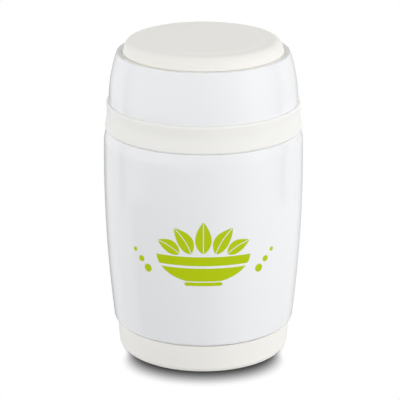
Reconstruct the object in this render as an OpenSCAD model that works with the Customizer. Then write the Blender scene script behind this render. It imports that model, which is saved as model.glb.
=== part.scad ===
// Vacuum insulated food jar: a double-walled steel jar with a screwed stopper, a screwed lid that
// is also a bowl, and a folding spoon under a lift-off cap in the lid's top.
// +Z is up and the jar stands on Z = 0, on its own axis.

/* [Barrel] */
// Radius of the barrel at its widest
barrel_r = 52.5; // [50:0.5:60]
// Height of the barrel's widest ring
barrel_wide_z = 99; // [85:1:110]
// Radius of the long arc that the barrel's side follows
barrel_bow_r = 720; // [620:10:1500]
// Height of the seam between the base cup and the barrel
seam_z = 16.3; // [14:0.1:18]
// Height of the shoulder that carries the lid
shoulder_z = 122; // [110:0.5:140]
// Rounding where the barrel's side turns in to its foot
foot_curl_r = 3; // [1:0.1:3.6]
// Height of the drawn-in stretch below the shoulder
shoulder_taper_h = 5; // [2:0.1:8]
// How far the side draws in over that stretch
shoulder_taper = 1.1; // [0.4:0.1:1.6]
// Thickness of the steel sheet
steel = 0.6; // [0.4:0.05:0.8]

/* [Neck and liner] */
// Width of the shoulder round the neck
shoulder_w = 7.2; // [6.8:0.1:9]
// Height of the mouth above the shoulder
neck_h = 13.6; // [12.8:0.1:16]
// Vacuum gap between the two walls of the neck
neck_gap = 1.4; // [0.6:0.1:2]
// Vacuum gap between the barrel and the liner, at the liner's floor
vacuum_gap = 1.9; // [1:0.1:5]
// Height of the liner's inner floor
liner_floor_z = 21.6; // [20.5:0.1:30]
// Rounding of the liner's floor
liner_round_r = 12; // [4:0.5:20]
// Length of the liner's narrow neck
liner_neck_h = 18; // [16:0.5:24]
// Height of the slope from the liner's wall to its neck
liner_slope_h = 5; // [3:0.5:10]

/* [Base] */
// How far the base cup stands in from the barrel at the seam
base_setback = 1.1; // [0.5:0.1:2]
// How far the base cup draws in from the seam to its bottom rounding
base_taper = 1.5; // [0.5:0.1:3]
// Wall of the base cup at the seam
base_wall_t = 2.4; // [1.8:0.1:3]
// Rounding of the base cup's bottom edge
base_round_r = 5.8; // [1:0.1:7]
// Thickness of the base cup's floor
base_floor_t = 2.2; // [1.8:0.1:3]
// Height of the ledge that the steel bottom stands on
ledge_z = 6.4; // [5:0.1:8]
// Width of that ledge
ledge_w = 3.6; // [2:0.1:5]
// Distance of the foot pad from the bottom rounding
pad_inset = 1.3; // [1:0.1:8]
// Width of the foot pad's ring
pad_w = 10; // [6:0.5:20]
// Thickness of the foot pad
pad_t = 1.4; // [1:0.1:1.8]
// How far the foot pad stands out of the base cup
pad_proud = 0.3; // [0.1:0.1:0.8]

/* [Steel bottom] */
// Height of the dish pressed into the steel bottom
dish_h = 2.6; // [1:0.1:4]
// Width of the flat rim round that dish
dish_rim_w = 3; // [2.6:0.1:8]
// Radius of the bead that closes the vacuum port
port_bead_r = 3.5; // [2:0.1:6]
// Height of that bead
port_bead_h = 1.2; // [0.6:0.1:2]
// Length of the getter strip
getter_l = 14; // [8:1:24]
// Width of the getter strip
getter_w = 7; // [4:0.5:12]
// Thickness of the getter strip
getter_t = 1.5; // [0.8:0.1:2.5]
// Thickness of the heat foil round the liner
foil_t = 0.1; // [0.05:0.01:0.2]
// Height of the heat foil
foil_h = 76; // [40:1:80]

/* [Screw threads] */
// Rise of every thread in one turn
thread_lead = 12; // [10:0.5:16]
// Ridges round each thread
thread_starts = 3; // [2:1:4]
// Angle that one ridge covers
thread_span = 100; // [60:5:110]
// Height of a ridge at its root
thread_root = 1.8; // [1.2:0.1:2]
// Height of a ridge at its crest
thread_crest = 0.8; // [0.5:0.1:1]
// How far the lid's and the neck's ridges stand out
lid_thread_t = 1.6; // [1.2:0.1:1.8]
// How far the stopper's and the liner's ridges stand out
stopper_thread_t = 1.3; // [1:0.1:1.6]
// Gap between a ridge's crest and the wall that it runs past
crest_gap = 0.6; // [0.4:0.05:0.8]
// Height of the neck's ridges above the shoulder, where they start
neck_thread_h = 4.6; // [4:0.1:5.4]
// Depth of the liner's ridges below the mouth, where they start
liner_thread_depth = 11; // [9:0.5:14]

/* [Lid] */
// Height of the lid's cream band
band_h = 15.3; // [13:0.1:20]
// How far the bead at the band's foot stands out of the shoulder
bead_proud = 0.6; // [0.2:0.05:1.4]
// Depth of the band's hollow waist behind that bead
waist_depth = 1.25; // [0.4:0.05:1.4]
// How far the lip at the band's top stands out of the waist
lip_proud = 0.3; // [0.1:0.05:1.2]
// Width of the lip that shows beside the white sleeve
lip_w = 1.3; // [0.9:0.05:1.4]
// Radius of the arc that the sleeve's side follows
sleeve_bow_r = 82; // [78:1:140]
// Width of the sleeve's turned-in rim
rim_w = 2.3; // [1.6:0.1:2.4]
// Wall of the lid's bowl
bowl_t = 2; // [1.6:0.1:2.2]
// Gap between the button and the bowl's roof
roof_gap = 1.2; // [0.8:0.1:6]
// Thickness of the bowl's roof
roof_t = 1.5; // [1:0.1:2.5]
// Depth of the spoon tray below the rim
tray_h = 11.1; // [11:0.1:14]
// Wall of the spoon tray
tray_t = 1.3; // [1:0.1:1.4]
// Height of the tray's lower, narrower part
tray_step_h = 4.9; // [4.8:0.1:5.4]
// Width of the step that carries the cap
tray_step_w = 2.4; // [1.6:0.1:2.6]
// Width of the gasket in the lid's foot
gasket_w = 1.6; // [1:0.1:2]
// Height of that gasket
gasket_h = 1.5; // [1:0.1:2]

/* [Cap] */
// Gap between the cap and the lid's rim
cap_gap = 0.95; // [0.9:0.05:1.8]
// Height of the cap's shoulder above the rim
cap_rise = 5.9; // [5:0.1:9]
// Rounding of the cap's edge
cap_round_r = 3.4; // [1:0.1:4]
// Distance of the cap's raised disc from its side
cap_disc_inset = 11; // [8:0.5:20]
// How far the cap's top rises to that disc
cap_crown = 0.7; // [0.6:0.1:2.5]
// Wall of the cap
cap_t = 1.8; // [1.6:0.1:2.2]
// Radius of the sealing ring's cord
cap_seal_r = 0.8; // [0.8:0.05:1.1]

/* [Stopper] */
// Depth of the stopper's plug below the mouth
plug_h = 22; // [20:0.5:30]
// Wall of the stopper
stopper_t = 1.6; // [1.2:0.1:2]
// Thickness of the flange over the mouth
flange_t = 2.2; // [1.6:0.1:2.6]
// How far the flange stands in from the neck
flange_inset = 0.6; // [0.2:0.1:1]
// Thickness of the seal under the flange
seal_t = 1.4; // [1:0.1:1.6]
// Height of the finger grip above the flange
grip_h = 7; // [6:0.1:7.4]
// Wall of the finger grip
grip_t = 4; // [3:0.1:5]
// Notches round the finger grip
grip_notches = 36; // [18:2:48]
// Thickness of the cover's floor
cover_t = 1.6; // [1.2:0.1:1.8]
// Wall of the well that guides the button
well_t = 2.2; // [1.6:0.1:3]

/* [Vent valve] */
// Radius of the push button
button_r = 10; // [8:0.1:12]
// Height of the button's top above the well
button_proud = 2; // [1.2:0.1:2.2]
// Thickness of the button's top
button_t = 1.8; // [1.4:0.1:2.2]
// Travel of the button
valve_travel = 3; // [2:0.1:3.2]
// Radius of the valve's stem
stem_r = 2.4; // [2:0.1:3]
// Radius of the washer that closes the vent
washer_r = 7; // [5:0.1:9]
// Thickness of that washer
washer_t = 1.2; // [0.8:0.1:2]
// Radius of the spring, to the middle of its wire
spring_r = 4; // [3.8:0.1:4.6]
// Radius of the spring's wire
spring_wire_r = 0.35; // [0.25:0.05:0.45]
// Turns of the spring
spring_turns = 4.5; // [3:0.5:6]

/* [Spoon] */
// Distance of the spoon's hinge from the jar's axis
hinge_x = 30; // [26:0.5:31]
// Length of the spoon's bowl
spoon_l = 44; // [36:0.5:46]
// Width of the spoon's bowl
spoon_w = 32; // [26:0.5:36]
// Depth of the spoon's bowl
spoon_depth = 6.6; // [4:0.1:6.8]
// Wall of the spoon's bowl
spoon_t = 1.2; // [0.8:0.1:1.4]
// Gap between the handle's free end and the cap's inner wall
handle_end_gap = 3.8; // [2:0.1:10]
// Width of the handle
handle_w = 13; // [12.5:0.5:18]
// Thickness of the handle
handle_t = 2.2; // [1.6:0.1:2.4]
// Thickness of the spoon's neck
spoon_neck_t = 2; // [1.4:0.1:2.2]
// Height of the edge round the spoon's bowl
spoon_lip = 0.4; // [0.2:0.1:1]
// Radius of the spoon's hinge pin
pin_r = 1.2; // [0.8:0.1:1.3]
// Radius of the hinge's knuckle
knuckle_r = 2.2; // [2:0.1:2.3]
// Width of the hinge's knuckle
knuckle_w = 8; // [5:0.5:8.4]

/* [Clearances] */
// Gap between pieces that come apart
part_gap = 0.3; // [0.15:0.05:0.4]
// Gap between the base cup and the barrel's foot
cup_fit = 0.2; // [0.1:0.05:0.4]
// Gap round seals and gaskets
seal_gap = 0.1; // [0.05:0.05:0.15]
// Radial running fit of the pin and the stem
running_fit = 0.08; // [0.03:0.01:0.1]

/* [Hidden] */

// Fineness: facets round a turning, and degrees per step of a rounding
round_fn = 120;
fillet_step = 12;
// Depth to which a ridge or rib reaches into the wall that it stands on
bite = steel / 2;
// How far the cap's side leans in from the rim up to its edge
cap_lean = 0.9;

// Heights, from the floor up
mouth_z = shoulder_z + neck_h;
shell_foot_z = ledge_z + steel;
plug_z = mouth_z - plug_h;
seal_z = mouth_z + seal_gap;
flange_z = seal_z + seal_t + seal_gap;
cover_z = flange_z + flange_t;
cover_floor_z = cover_z + cover_t;
grip_z = cover_z + grip_h;
lid_foot_z = shoulder_z + part_gap;
band_top_z = lid_foot_z + band_h;
sleeve_foot_z = band_top_z - 1.6;
well_top_z = grip_z - 1.2;
button_top_z = well_top_z + button_proud;
button_crown_z = button_top_z + 0.4;
lid_roof_z = button_crown_z + roof_gap;
roof_top_z = lid_roof_z + roof_t;
tray_z = roof_top_z + tray_t;
rim_z = tray_z + tray_h;
tray_step_z = tray_z + tray_step_h;
cap_foot_z = tray_step_z + part_gap;
cap_edge_z = rim_z + cap_rise;
cap_top_z = cap_edge_z + cap_crown;
cap_seal_z = rim_z - 1.3;
spoon_rim_z = tray_z + part_gap;
spoon_crown_z = spoon_rim_z + spoon_depth + spoon_t;
handle_z = spoon_crown_z + 0.8;
pin_z = spoon_rim_z + knuckle_r;

// Radii that follow from the barrel's, from the shoulder upwards and from the seam downwards
shoulder_r = barrel_side(shoulder_z - shoulder_taper_h) - shoulder_taper;
neck_r = shoulder_r - shoulder_w;
bead_r = shoulder_r + bead_proud;
waist_r = bead_r - waist_depth;
lip_r = waist_r + lip_proud;
sleeve_r = lip_r - lip_w;
base_top_r = barrel_side(seam_z) - base_setback;
base_side_r = base_top_r - base_taper;
base_bore_r = base_top_r - base_wall_t;
barrel_foot_r = base_bore_r - cup_fit;
pad_r = base_side_r - base_round_r - pad_inset;
dish_slope = dish_h + 0.4;
dish_r = barrel_foot_r - dish_rim_w - dish_slope;

// Radii that follow from a fit
liner_bore_r = barrel_side(liner_floor_z) - vacuum_gap - 2 * steel;
liner_r = liner_bore_r + steel;
liner_neck_r = neck_r - steel - neck_gap;
liner_mouth_r = liner_neck_r - steel;
plug_r = liner_mouth_r - stopper_thread_t - crest_gap;
flange_r = neck_r - flange_inset;
lid_bore_r = neck_r + lid_thread_t + crest_gap;
rim_bore_r = sleeve_side(rim_z) - rim_w;
tray_r = rim_bore_r - 0.2;
cap_r = rim_bore_r - cap_gap;
cap_bore_r = cap_r - cap_t;
cap_disc_r = cap_r - cap_disc_inset;
handle_reach = cap_bore_r - handle_end_gap;
stem_bore_r = stem_r + running_fit;
tube_r = stem_bore_r + 2;
pin_bore_r = pin_r + running_fit;
button_bore_r = button_r + part_gap;
gasket_mid_r = lid_bore_r + 2;
cap_seal_mid_r = tray_r - part_gap / 2 - cap_seal_r;
spoon_mid_x = 14 - hinge_x + spoon_l / 2;

// Screw threads: the pitch between ridges, and the ridges' middle height where each ridge starts
ridge_pitch = thread_lead / thread_starts;
neck_thread_z = shoulder_z + neck_thread_h;
liner_thread_z = mouth_z - liner_thread_depth;
thread_fade = 10;
thread_step = 5;
// A lid's ridge lies halfway between two of the neck's ridges
thread_offset = ridge_pitch / 2;

// Radius of the barrel's side at a height, and of the sleeve's
function barrel_side(z) =
    barrel_r - barrel_bow_r + sqrt(pow(barrel_bow_r, 2) - pow(z - barrel_wide_z, 2));
function sleeve_side(z) =
    sleeve_r - sleeve_bow_r + sqrt(pow(sleeve_bow_r, 2) - pow(max(0, z - sleeve_foot_z), 2));

// A stretch of a side between two heights, as outline points set inwards by an amount
function side_steps(low, high, pitch) =
    let (count = max(2, ceil(abs(high - low) / pitch)))
    [for (i = [0 : count]) low + (high - low) * i / count];
function barrel_run(low, high, inset) =
    [for (z = side_steps(low, high, 8)) [barrel_side(z) - inset, z]];
function sleeve_run(low, high, inset) =
    [for (z = side_steps(low, high, 2)) [sleeve_side(z) - inset, z]];

// Outline points [x, y, rounding] with each corner's rounding put in, limited by its two edges
function flat(p) = [p[0], p[1]];
function unit(v) = v / norm(v);
function turned_back(angle) = angle > 180 ? angle - 360 : angle < -180 ? angle + 360 : angle;
function fillet(before, here, after, radius) =
    let (
        to_before = unit(before - here),
        to_after = unit(after - here),
        half = acos(to_before * to_after) / 2,
        reach = min(radius / tan(half), 0.49 * min(norm(before - here), norm(after - here))),
        r = reach * tan(half),
        centre = here + unit(to_before + to_after) * r / sin(half),
        first = here + to_before * reach - centre,
        last = here + to_after * reach - centre,
        start = atan2(first[1], first[0]),
        sweep = turned_back(atan2(last[1], last[0]) - start),
        steps = max(1, ceil(abs(sweep) / fillet_step))
    )
    [for (i = [0 : steps]) centre + r * [cos(start + sweep * i / steps), sin(start + sweep * i / steps)]];
function rounded(points) =
    let (count = len(points))
    [
        for (i = [0 : count - 1])
            let (here = points[i])
            each (
                len(here) < 3 ? [here] :
                fillet(
                    flat(points[(i + count - 1) % count]), flat(here), flat(points[(i + 1) % count]), here[2]
                )
            )
    ];

// A solid turned round the jar's axis from an outline of [radius, height, rounding] points
module turning(outline) {
    rotate_extrude($fn = round_fn) polygon(rounded(outline));
}

// A flat ring or disc from one height to another
module ring(inner, outer, low, high) {
    turning([[inner, low], [outer, low], [outer, high], [inner, high]]);
}

// One screw ridge: a trapezoid carried up a helix, fading out at both ends.
// root and crest are radii, so a ridge stands outwards or inwards. z is its middle at its start.
module ridge(root, crest, z, start) {
    outwards = sign(crest - root);
    steps = ceil(thread_span / thread_step);
    back = root - outwards * bite;
    points = [
        for (i = [0 : steps])
            let (
                turn = thread_span * i / steps,
                fade = max(0.1, min(1, turn / thread_fade, (thread_span - turn) / thread_fade)),
                tip = root + (crest - root) * fade,
                angle = start + turn,
                mid = z + thread_lead * turn / 360
            )
            each [
                for (p = [[back, -thread_root / 2], [tip, -thread_crest / 2],
                          [tip, thread_crest / 2], [back, thread_root / 2]])
                    [p[0] * cos(angle), p[0] * sin(angle), mid + p[1]]
            ]
    ];
    sides = [
        for (i = [0 : steps - 1], j = [0 : 3])
            let (a = 4 * i + j, b = 4 * i + (j + 1) % 4)
            each [[a, b, b + 4], [a, b + 4, a + 4]]
    ];
    last = 4 * steps;
    faces = concat(sides, [[3, 2, 1, 0], [last, last + 1, last + 2, last + 3]]);
    polyhedron(points, outwards > 0 ? faces : [for (f = faces) [for (k = [len(f) - 1 : -1 : 0]) f[k]]],
        convexity = 4);
}

// The ridges of a whole thread, evenly spaced round the axis
module thread(root, crest, z) {
    for (i = [0 : thread_starts - 1]) ridge(root, crest, z, i * 360 / thread_starts);
}

// Cream moulded cup that closes the jar's foot
module base_cup() {
    foot_z = pad_proud;
    floor_z = foot_z + base_floor_t;
    color("linen") difference() {
        turning([
            [0, foot_z], [base_side_r, foot_z, base_round_r],
            [base_side_r + 0.1, foot_z + base_round_r + 0.4],
            [(base_side_r + base_top_r) / 2 + 0.2, seam_z * 0.55, 30], [base_top_r, seam_z - part_gap, 0.4],
            [base_bore_r, seam_z - part_gap], [base_bore_r, ledge_z],
            [base_bore_r - ledge_w, ledge_z], [base_bore_r - ledge_w, floor_z, 1], [0, floor_z]
        ]);
        ring(pad_r - pad_w - seal_gap, pad_r + seal_gap, 0, pad_t);
    }
}

// Soft ring under the base cup that keeps the jar from sliding
module foot_pad() {
    color("dimgray") turning([
        [pad_r - pad_w, 0, 0.3], [pad_r, 0, 0.3], [pad_r, pad_t], [pad_r - pad_w, pad_t]
    ]);
}

// Half of the barrel's section, set inwards by an amount, from its foot up to the top of the neck
function shell_line(inset) =
    let (
        turn_in_z = seam_z + inset,
        taper_z = shoulder_z - shoulder_taper_h
    )
    concat(
        [
            [barrel_foot_r - inset, shell_foot_z],
            [barrel_foot_r - inset, turn_in_z, 0.6],
            [barrel_side(seam_z) - inset, turn_in_z, foot_curl_r - inset]
        ],
        barrel_run(seam_z + foot_curl_r + 2, taper_z - 2, inset),
        [
            [shoulder_r + shoulder_taper - inset, taper_z, 12],
            [shoulder_r - inset, shoulder_z - inset, 1.6],
            [neck_r - inset, shoulder_z - inset, 0.8],
            [neck_r - inset, mouth_z - steel]
        ]
    );

// White painted barrel, drawn in at its foot and up into the neck
module outer_shell() {
    inner = shell_line(steel);
    backwards = [for (i = [len(inner) - 1 : -1 : 0]) inner[i]];
    color("whitesmoke") {
        turning(concat(shell_line(0), backwards));
        thread(neck_r, neck_r + lid_thread_t, neck_thread_z);
    }
}

// Steel disc welded under the barrel's foot, with a stiffening dish
module outer_bottom() {
    color("silver") turning([
        [0, ledge_z + dish_h], [dish_r, ledge_z + dish_h, 1], [dish_r + dish_slope, ledge_z, 1],
        [barrel_foot_r, ledge_z], [barrel_foot_r, shell_foot_z],
        [dish_r + dish_slope + 0.3, shell_foot_z, 1], [dish_r + 0.3, shell_foot_z + dish_h, 1],
        [0, shell_foot_z + dish_h]
    ]);
}

// Glass bead that closes the port through which the vacuum is drawn
module port_bead() {
    top = ledge_z + dish_h;
    color("darkseagreen") turning([
        [0, top - port_bead_h], [port_bead_r, top - port_bead_h, port_bead_h * 0.8],
        [port_bead_r, top], [0, top]
    ]);
}

// Strip that takes up stray gas in the vacuum
module getter() {
    color("dimgray") translate([-getter_l / 2, -getter_w / 2, shell_foot_z + dish_h])
        cube([getter_l, getter_w, getter_t]);
}

// Copper foil round the liner that turns radiant heat back
module heat_foil() {
    low = liner_floor_z + liner_round_r;
    inner = liner_r + running_fit;
    color("peru") ring(inner, inner + foil_t, low, min(low + foil_h, mouth_z - liner_neck_h - liner_slope_h));
}

// Stainless food vessel, necked in at the top and welded over the barrel's neck
module liner() {
    slope_z = mouth_z - liner_neck_h;
    wall_z = slope_z - liner_slope_h;
    color("silver") {
        turning([
            [0, liner_floor_z - steel], [liner_r, liner_floor_z - steel, liner_round_r + steel],
            [liner_r, wall_z, 4], [liner_neck_r, slope_z, 3], [liner_neck_r, mouth_z - steel],
            [neck_r, mouth_z - steel], [neck_r, mouth_z, 0.25], [liner_mouth_r, mouth_z, 0.25],
            [liner_mouth_r, slope_z, 3], [liner_bore_r, wall_z, 4],
            [liner_bore_r, liner_floor_z, liner_round_r], [0, liner_floor_z]
        ]);
        thread(liner_mouth_r, liner_mouth_r - stopper_thread_t, liner_thread_z);
    }
}

// Silicone ring between the stopper's flange and the mouth
module stopper_seal() {
    color("gainsboro") turning([
        [plug_r + part_gap, seal_z, 0.4], [flange_r - 0.4, seal_z, 0.4],
        [flange_r - 0.4, seal_z + seal_t, 0.4], [plug_r + part_gap, seal_z + seal_t, 0.4]
    ]);
}

// Moulded plug that screws into the neck, with a tube for the valve's stem
module stopper_body() {
    floor_z = plug_z + stopper_t;
    bore = plug_r - stopper_t;
    tube_top_z = cover_z - cover_t - part_gap;
    color("lightgray") {
        turning([
            [stem_bore_r, plug_z], [plug_r, plug_z, 4], [plug_r, flange_z, 0.2], [flange_r, flange_z, 0.3],
            [flange_r, cover_z], [bore, cover_z], [bore, floor_z, 3], [tube_r, floor_z],
            [tube_r, tube_top_z], [stem_bore_r, tube_top_z]
        ]);
        thread(plug_r, plug_r + stopper_thread_t, liner_thread_z - thread_offset);
    }
}

// Foam ring that fills the stopper
module stopper_foam() {
    low = plug_z + stopper_t + seal_gap;
    color("khaki") turning([
        [tube_r + seal_gap, low], [plug_r - stopper_t - seal_gap, low, 3.2],
        [plug_r - stopper_t - seal_gap, cover_z - cover_t - part_gap],
        [tube_r + seal_gap, cover_z - cover_t - part_gap]
    ]);
}

// Stopper's cover: a notched finger grip, cross ribs and the button's well
module stopper_cover() {
    spigot_r = plug_r - stopper_t - seal_gap;
    grip_r = flange_r - 0.6;
    grip_bore = grip_r - grip_t;
    well_r = button_bore_r + well_t;
    rib_t = 2.4;
    color("lightgray") difference() {
        union() {
            turning([
                [stem_r + 1, cover_z - cover_t], [spigot_r, cover_z - cover_t, 0.3], [spigot_r, cover_z],
                [flange_r, cover_z], [flange_r, cover_z + 0.8, 0.5], [grip_r, cover_z + 1.4, 0.4],
                [grip_r, grip_z, 1.4], [grip_bore, grip_z, 1.4], [grip_bore, cover_floor_z, 1],
                [well_r, cover_floor_z, 0.6], [well_r, well_top_z, 0.8], [button_bore_r, well_top_z, 0.4],
                [button_bore_r, cover_z], [stem_r + 1, cover_z]
            ]);
            for (a = [45 : 90 : 315]) rotate(a)
                translate([well_r - bite, -rib_t / 2, cover_floor_z - bite])
                    cube([grip_bore - well_r + 2 * bite, rib_t, grip_z - cover_floor_z - 2 + bite]);
        }
        for (i = [0 : grip_notches - 1]) rotate(i * 360 / grip_notches)
            translate([grip_r + 0.5, 0, cover_z + 2]) cylinder(r = 1.1, h = grip_h, $fn = 24);
    }
}

// Push button of the vent valve
module valve_button() {
    roof_z = button_top_z - button_t;
    skirt_z = cover_z + valve_travel + part_gap;
    color("lime") turning([
        [0, roof_z], [button_r - 1.6, roof_z, 0.6], [button_r - 1.6, skirt_z],
        [button_r, skirt_z], [button_r, button_top_z, 1.4], [0, button_crown_z]
    ]);
}

// Stem that carries the washer below the stopper
module valve_stem() {
    top_z = button_top_z - button_t;
    head_z = plug_z - seal_gap - washer_t;
    color("white") turning([
        [0, head_z - 1.2], [washer_r - 1.5, head_z - 1.2, 0.6], [washer_r - 1.5, head_z],
        [stem_r, head_z], [stem_r, top_z], [0, top_z]
    ]);
}

// Silicone washer that closes the vent from below
module valve_washer() {
    low = plug_z - seal_gap - washer_t;
    color("gainsboro") turning([
        [stem_r + running_fit, low], [washer_r, low, 0.3], [washer_r, low + washer_t, 0.3],
        [stem_r + running_fit, low + washer_t]
    ]);
}

// Coil spring under the button: a circle of wire carried round a helix
module valve_spring() {
    low = cover_z + spring_wire_r + 0.05;
    high = button_top_z - button_t - spring_wire_r - 0.05;
    sides = 6;
    per_turn = 20;
    steps = spring_turns * per_turn;
    points = [
        for (i = [0 : steps], j = [0 : sides - 1])
            let (
                angle = 360 * i / per_turn,
                around = 360 * j / sides,
                r = spring_r + spring_wire_r * cos(around),
                z = low + (high - low) * i / steps + spring_wire_r * sin(around)
            )
            [r * cos(angle), r * sin(angle), z]
    ];
    walls = [
        for (i = [0 : steps - 1], j = [0 : sides - 1])
            let (a = sides * i + j, b = sides * i + (j + 1) % sides)
            each [[a, b + sides, b], [a, a + sides, b + sides]]
    ];
    foot = [for (j = [0 : sides - 1]) j];
    head = [for (j = [sides - 1 : -1 : 0]) sides * steps + j];
    color("silver") polyhedron(points, concat(walls, [foot, head]), convexity = 10);
}

// Gasket in the lid's foot that bears on the shoulder
module lid_gasket() {
    low = shoulder_z + seal_gap;
    color("gainsboro") turning([
        [gasket_mid_r - gasket_w / 2, low, 0.4], [gasket_mid_r + gasket_w / 2, low, 0.4],
        [gasket_mid_r + gasket_w / 2, low + gasket_h], [gasket_mid_r - gasket_w / 2, low + gasket_h]
    ]);
}

// Cream lid: the band and the screwed bowl
module lid_bowl() {
    sleeve_seat_z = sleeve_foot_z - part_gap;
    seat_out = sleeve_r + 0.15;
    seat_in = sleeve_r - steel - 0.15;
    bowl_r = lid_bore_r - 1.2;
    color("linen") {
        difference() {
            turning([
                [lid_bore_r, lid_foot_z, 0.4], [bead_r - 1.2, lid_foot_z, 0.3],
                [bead_r, lid_foot_z + 1.2, 1.3], [waist_r, lid_foot_z + band_h * 0.56, 16],
                [lip_r, band_top_z, 2.2], [seat_out, band_top_z],
                [seat_out, sleeve_seat_z], [seat_in, sleeve_seat_z], [seat_in, band_top_z],
                [bowl_r + bowl_t, band_top_z + 3.6, 2], [bowl_r + bowl_t, roof_top_z, 4], [0, roof_top_z],
                [0, lid_roof_z], [bowl_r, lid_roof_z, 3], [bowl_r, mouth_z + 4, 4],
                [lid_bore_r, mouth_z + 1, 4]
            ]);
            ring(gasket_mid_r - gasket_w / 2 - seal_gap, gasket_mid_r + gasket_w / 2 + seal_gap,
                lid_foot_z - 1, shoulder_z + 2 * seal_gap + gasket_h);
        }
        thread(lid_bore_r, lid_bore_r - lid_thread_t, neck_thread_z - thread_offset);
    }
}

// Tray for the spoon: it stands on the bowl's roof, and the sleeve's rim holds it down
module spoon_tray() {
    wall_r = tray_r - tray_step_w;
    top_z = rim_z - steel - seal_gap;
    color("linen") turning([
        [0, roof_top_z], [wall_r + tray_t, roof_top_z, 2], [wall_r + tray_t, tray_step_z - tray_t, 0.6],
        [tray_r + tray_t, tray_step_z - tray_t, 1], [tray_r + tray_t, top_z], [tray_r, top_z],
        [tray_r, tray_step_z], [wall_r, tray_step_z, 0.4], [wall_r, tray_z, 1.5], [0, tray_z]
    ]);
}

// White sleeve round the lid, turned in at its rim
module lid_sleeve() {
    low = sleeve_foot_z;
    high = rim_z - 1.2;
    color("whitesmoke") turning(concat(
        sleeve_run(low, high, 0),
        [
            [sleeve_side(rim_z), rim_z, 0.9], [rim_bore_r, rim_z, 0.3],
            [rim_bore_r, rim_z - steel], [sleeve_side(rim_z) - steel, rim_z - steel, 0.3]
        ],
        [for (z = side_steps(high, low, 2)) [sleeve_side(z) - steel, z]]
    ));
}

// A round-ended strip along X, from one reach to another, with a given width
module strip(from, to, width, low, high) {
    translate([0, 0, low]) linear_extrude(high - low)
        polygon(rounded([
            [from, -width / 2, width / 4], [to, -width / 2, width / 2.1],
            [to, width / 2, width / 2.1], [from, width / 2, width / 4]
        ]));
}

// A cylinder along Y through the spoon's hinge, centred on the jar's middle plane
module hinge_round(r, width) {
    translate([-hinge_x, width / 2, pin_z]) rotate([90, 0, 0]) cylinder(r = r, h = width, $fn = 48);
}

// Handle of the folding spoon, cranked down to two ears that carry the pin
module spoon_handle() {
    slot_w = knuckle_w + 2 * part_gap;
    top_z = handle_z + handle_t;
    color("linen") difference() {
        union() {
            strip(-hinge_x - knuckle_r, handle_reach, handle_w, handle_z, top_z);
            hinge_round(knuckle_r, handle_w);
            translate([-hinge_x - knuckle_r, -handle_w / 2, pin_z])
                cube([2 * knuckle_r, handle_w, top_z - pin_z - 0.8]);
        }
        translate([-hinge_x - 2 * knuckle_r, -slot_w / 2, pin_z - 2 * knuckle_r])
            cube([4 * knuckle_r, slot_w, 3 * knuckle_r + part_gap]);
        hinge_round(pin_bore_r, handle_w + 2);
        strip(4, handle_reach - 5, handle_w - 6, top_z - 0.8, top_z + 1);
    }
}

// Steel pin of the spoon's hinge
module spoon_pin() {
    color("silver") hinge_round(pin_r, handle_w);
}

// A closed dome for the spoon's bowl: rings that widen from its crown, and a straight edge below them
module spoon_dome(length, width, crown_z, edge_z, foot_z) {
    rings = 8;
    around = 32;
    points = [
        [spoon_mid_x, 0, crown_z],
        for (ring = [1 : rings + 1], j = [0 : around - 1])
            let (
                u = sin(90 * min(1, ring / rings)),
                angle = 360 * j / around,
                taper = 1 - 0.12 * cos(angle)
            )
            [
                spoon_mid_x + length / 2 * u * cos(angle),
                width / 2 * u * sin(angle) * taper,
                ring > rings ? foot_z : edge_z + (crown_z - edge_z) * pow(1 - u * u, 0.75)
            ],
        [spoon_mid_x, 0, foot_z]
    ];
    last = 1 + rings * around;
    walls = [
        for (i = [0 : rings - 1], j = [0 : around - 1])
            let (a = 1 + around * i + j, b = 1 + around * i + (j + 1) % around)
            each [[a, b + around, a + around], [a, b, b + around]]
    ];
    fans = [
        for (j = [0 : around - 1])
            let (k = (j + 1) % around)
            each [[0, 1 + k, 1 + j], [last + around, last + j, last + k]]
    ];
    polyhedron(points, concat(walls, fans), convexity = 4);
}

// Bowl of the folding spoon: a domed shell, edge down, and the neck that joins it to the hinge
module spoon_bowl() {
    neck_l = hinge_x + spoon_mid_x - spoon_l / 2 + 6;
    hollow_z = spoon_rim_z + spoon_depth;
    color("linen") difference() {
        union() {
            spoon_dome(spoon_l, spoon_w, spoon_crown_z, spoon_rim_z + spoon_lip, spoon_rim_z);
            hinge_round(knuckle_r, knuckle_w);
            translate([-hinge_x, -knuckle_w / 2, spoon_rim_z]) cube([neck_l, knuckle_w, spoon_neck_t]);
        }
        spoon_dome(spoon_l - 2 * spoon_t, spoon_w - 2 * spoon_t, hollow_z, spoon_rim_z + spoon_lip,
            spoon_rim_z - spoon_lip);
        hinge_round(pin_bore_r, knuckle_w + 2);
    }
}

// Cream cap over the spoon tray, with a groove for its sealing ring
module cap() {
    color("linen") difference() {
        turning([
            [cap_bore_r, cap_foot_z], [cap_r, cap_foot_z, 0.4], [cap_r, rim_z, 0.4],
            [cap_r - cap_lean, cap_edge_z - 0.1, cap_round_r],
            [cap_disc_r + 2.6, cap_edge_z + cap_crown * 0.4, 4], [cap_disc_r, cap_top_z, 3], [0, cap_top_z],
            [0, cap_top_z - cap_t], [cap_disc_r - 1, cap_top_z - cap_t, 3],
            [cap_bore_r - cap_lean, cap_edge_z - cap_t, cap_round_r - 1], [cap_bore_r, rim_z, 0.4]
        ]);
        ring(cap_seal_mid_r - cap_seal_r - seal_gap, cap_r + 1,
            cap_seal_z - cap_seal_r - seal_gap, cap_seal_z + cap_seal_r + seal_gap);
    }
}

// Soft ring in the cap's groove
module cap_seal() {
    color("gainsboro") rotate_extrude($fn = round_fn)
        translate([cap_seal_mid_r, cap_seal_z]) circle(r = cap_seal_r, $fn = 32);
}

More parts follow.
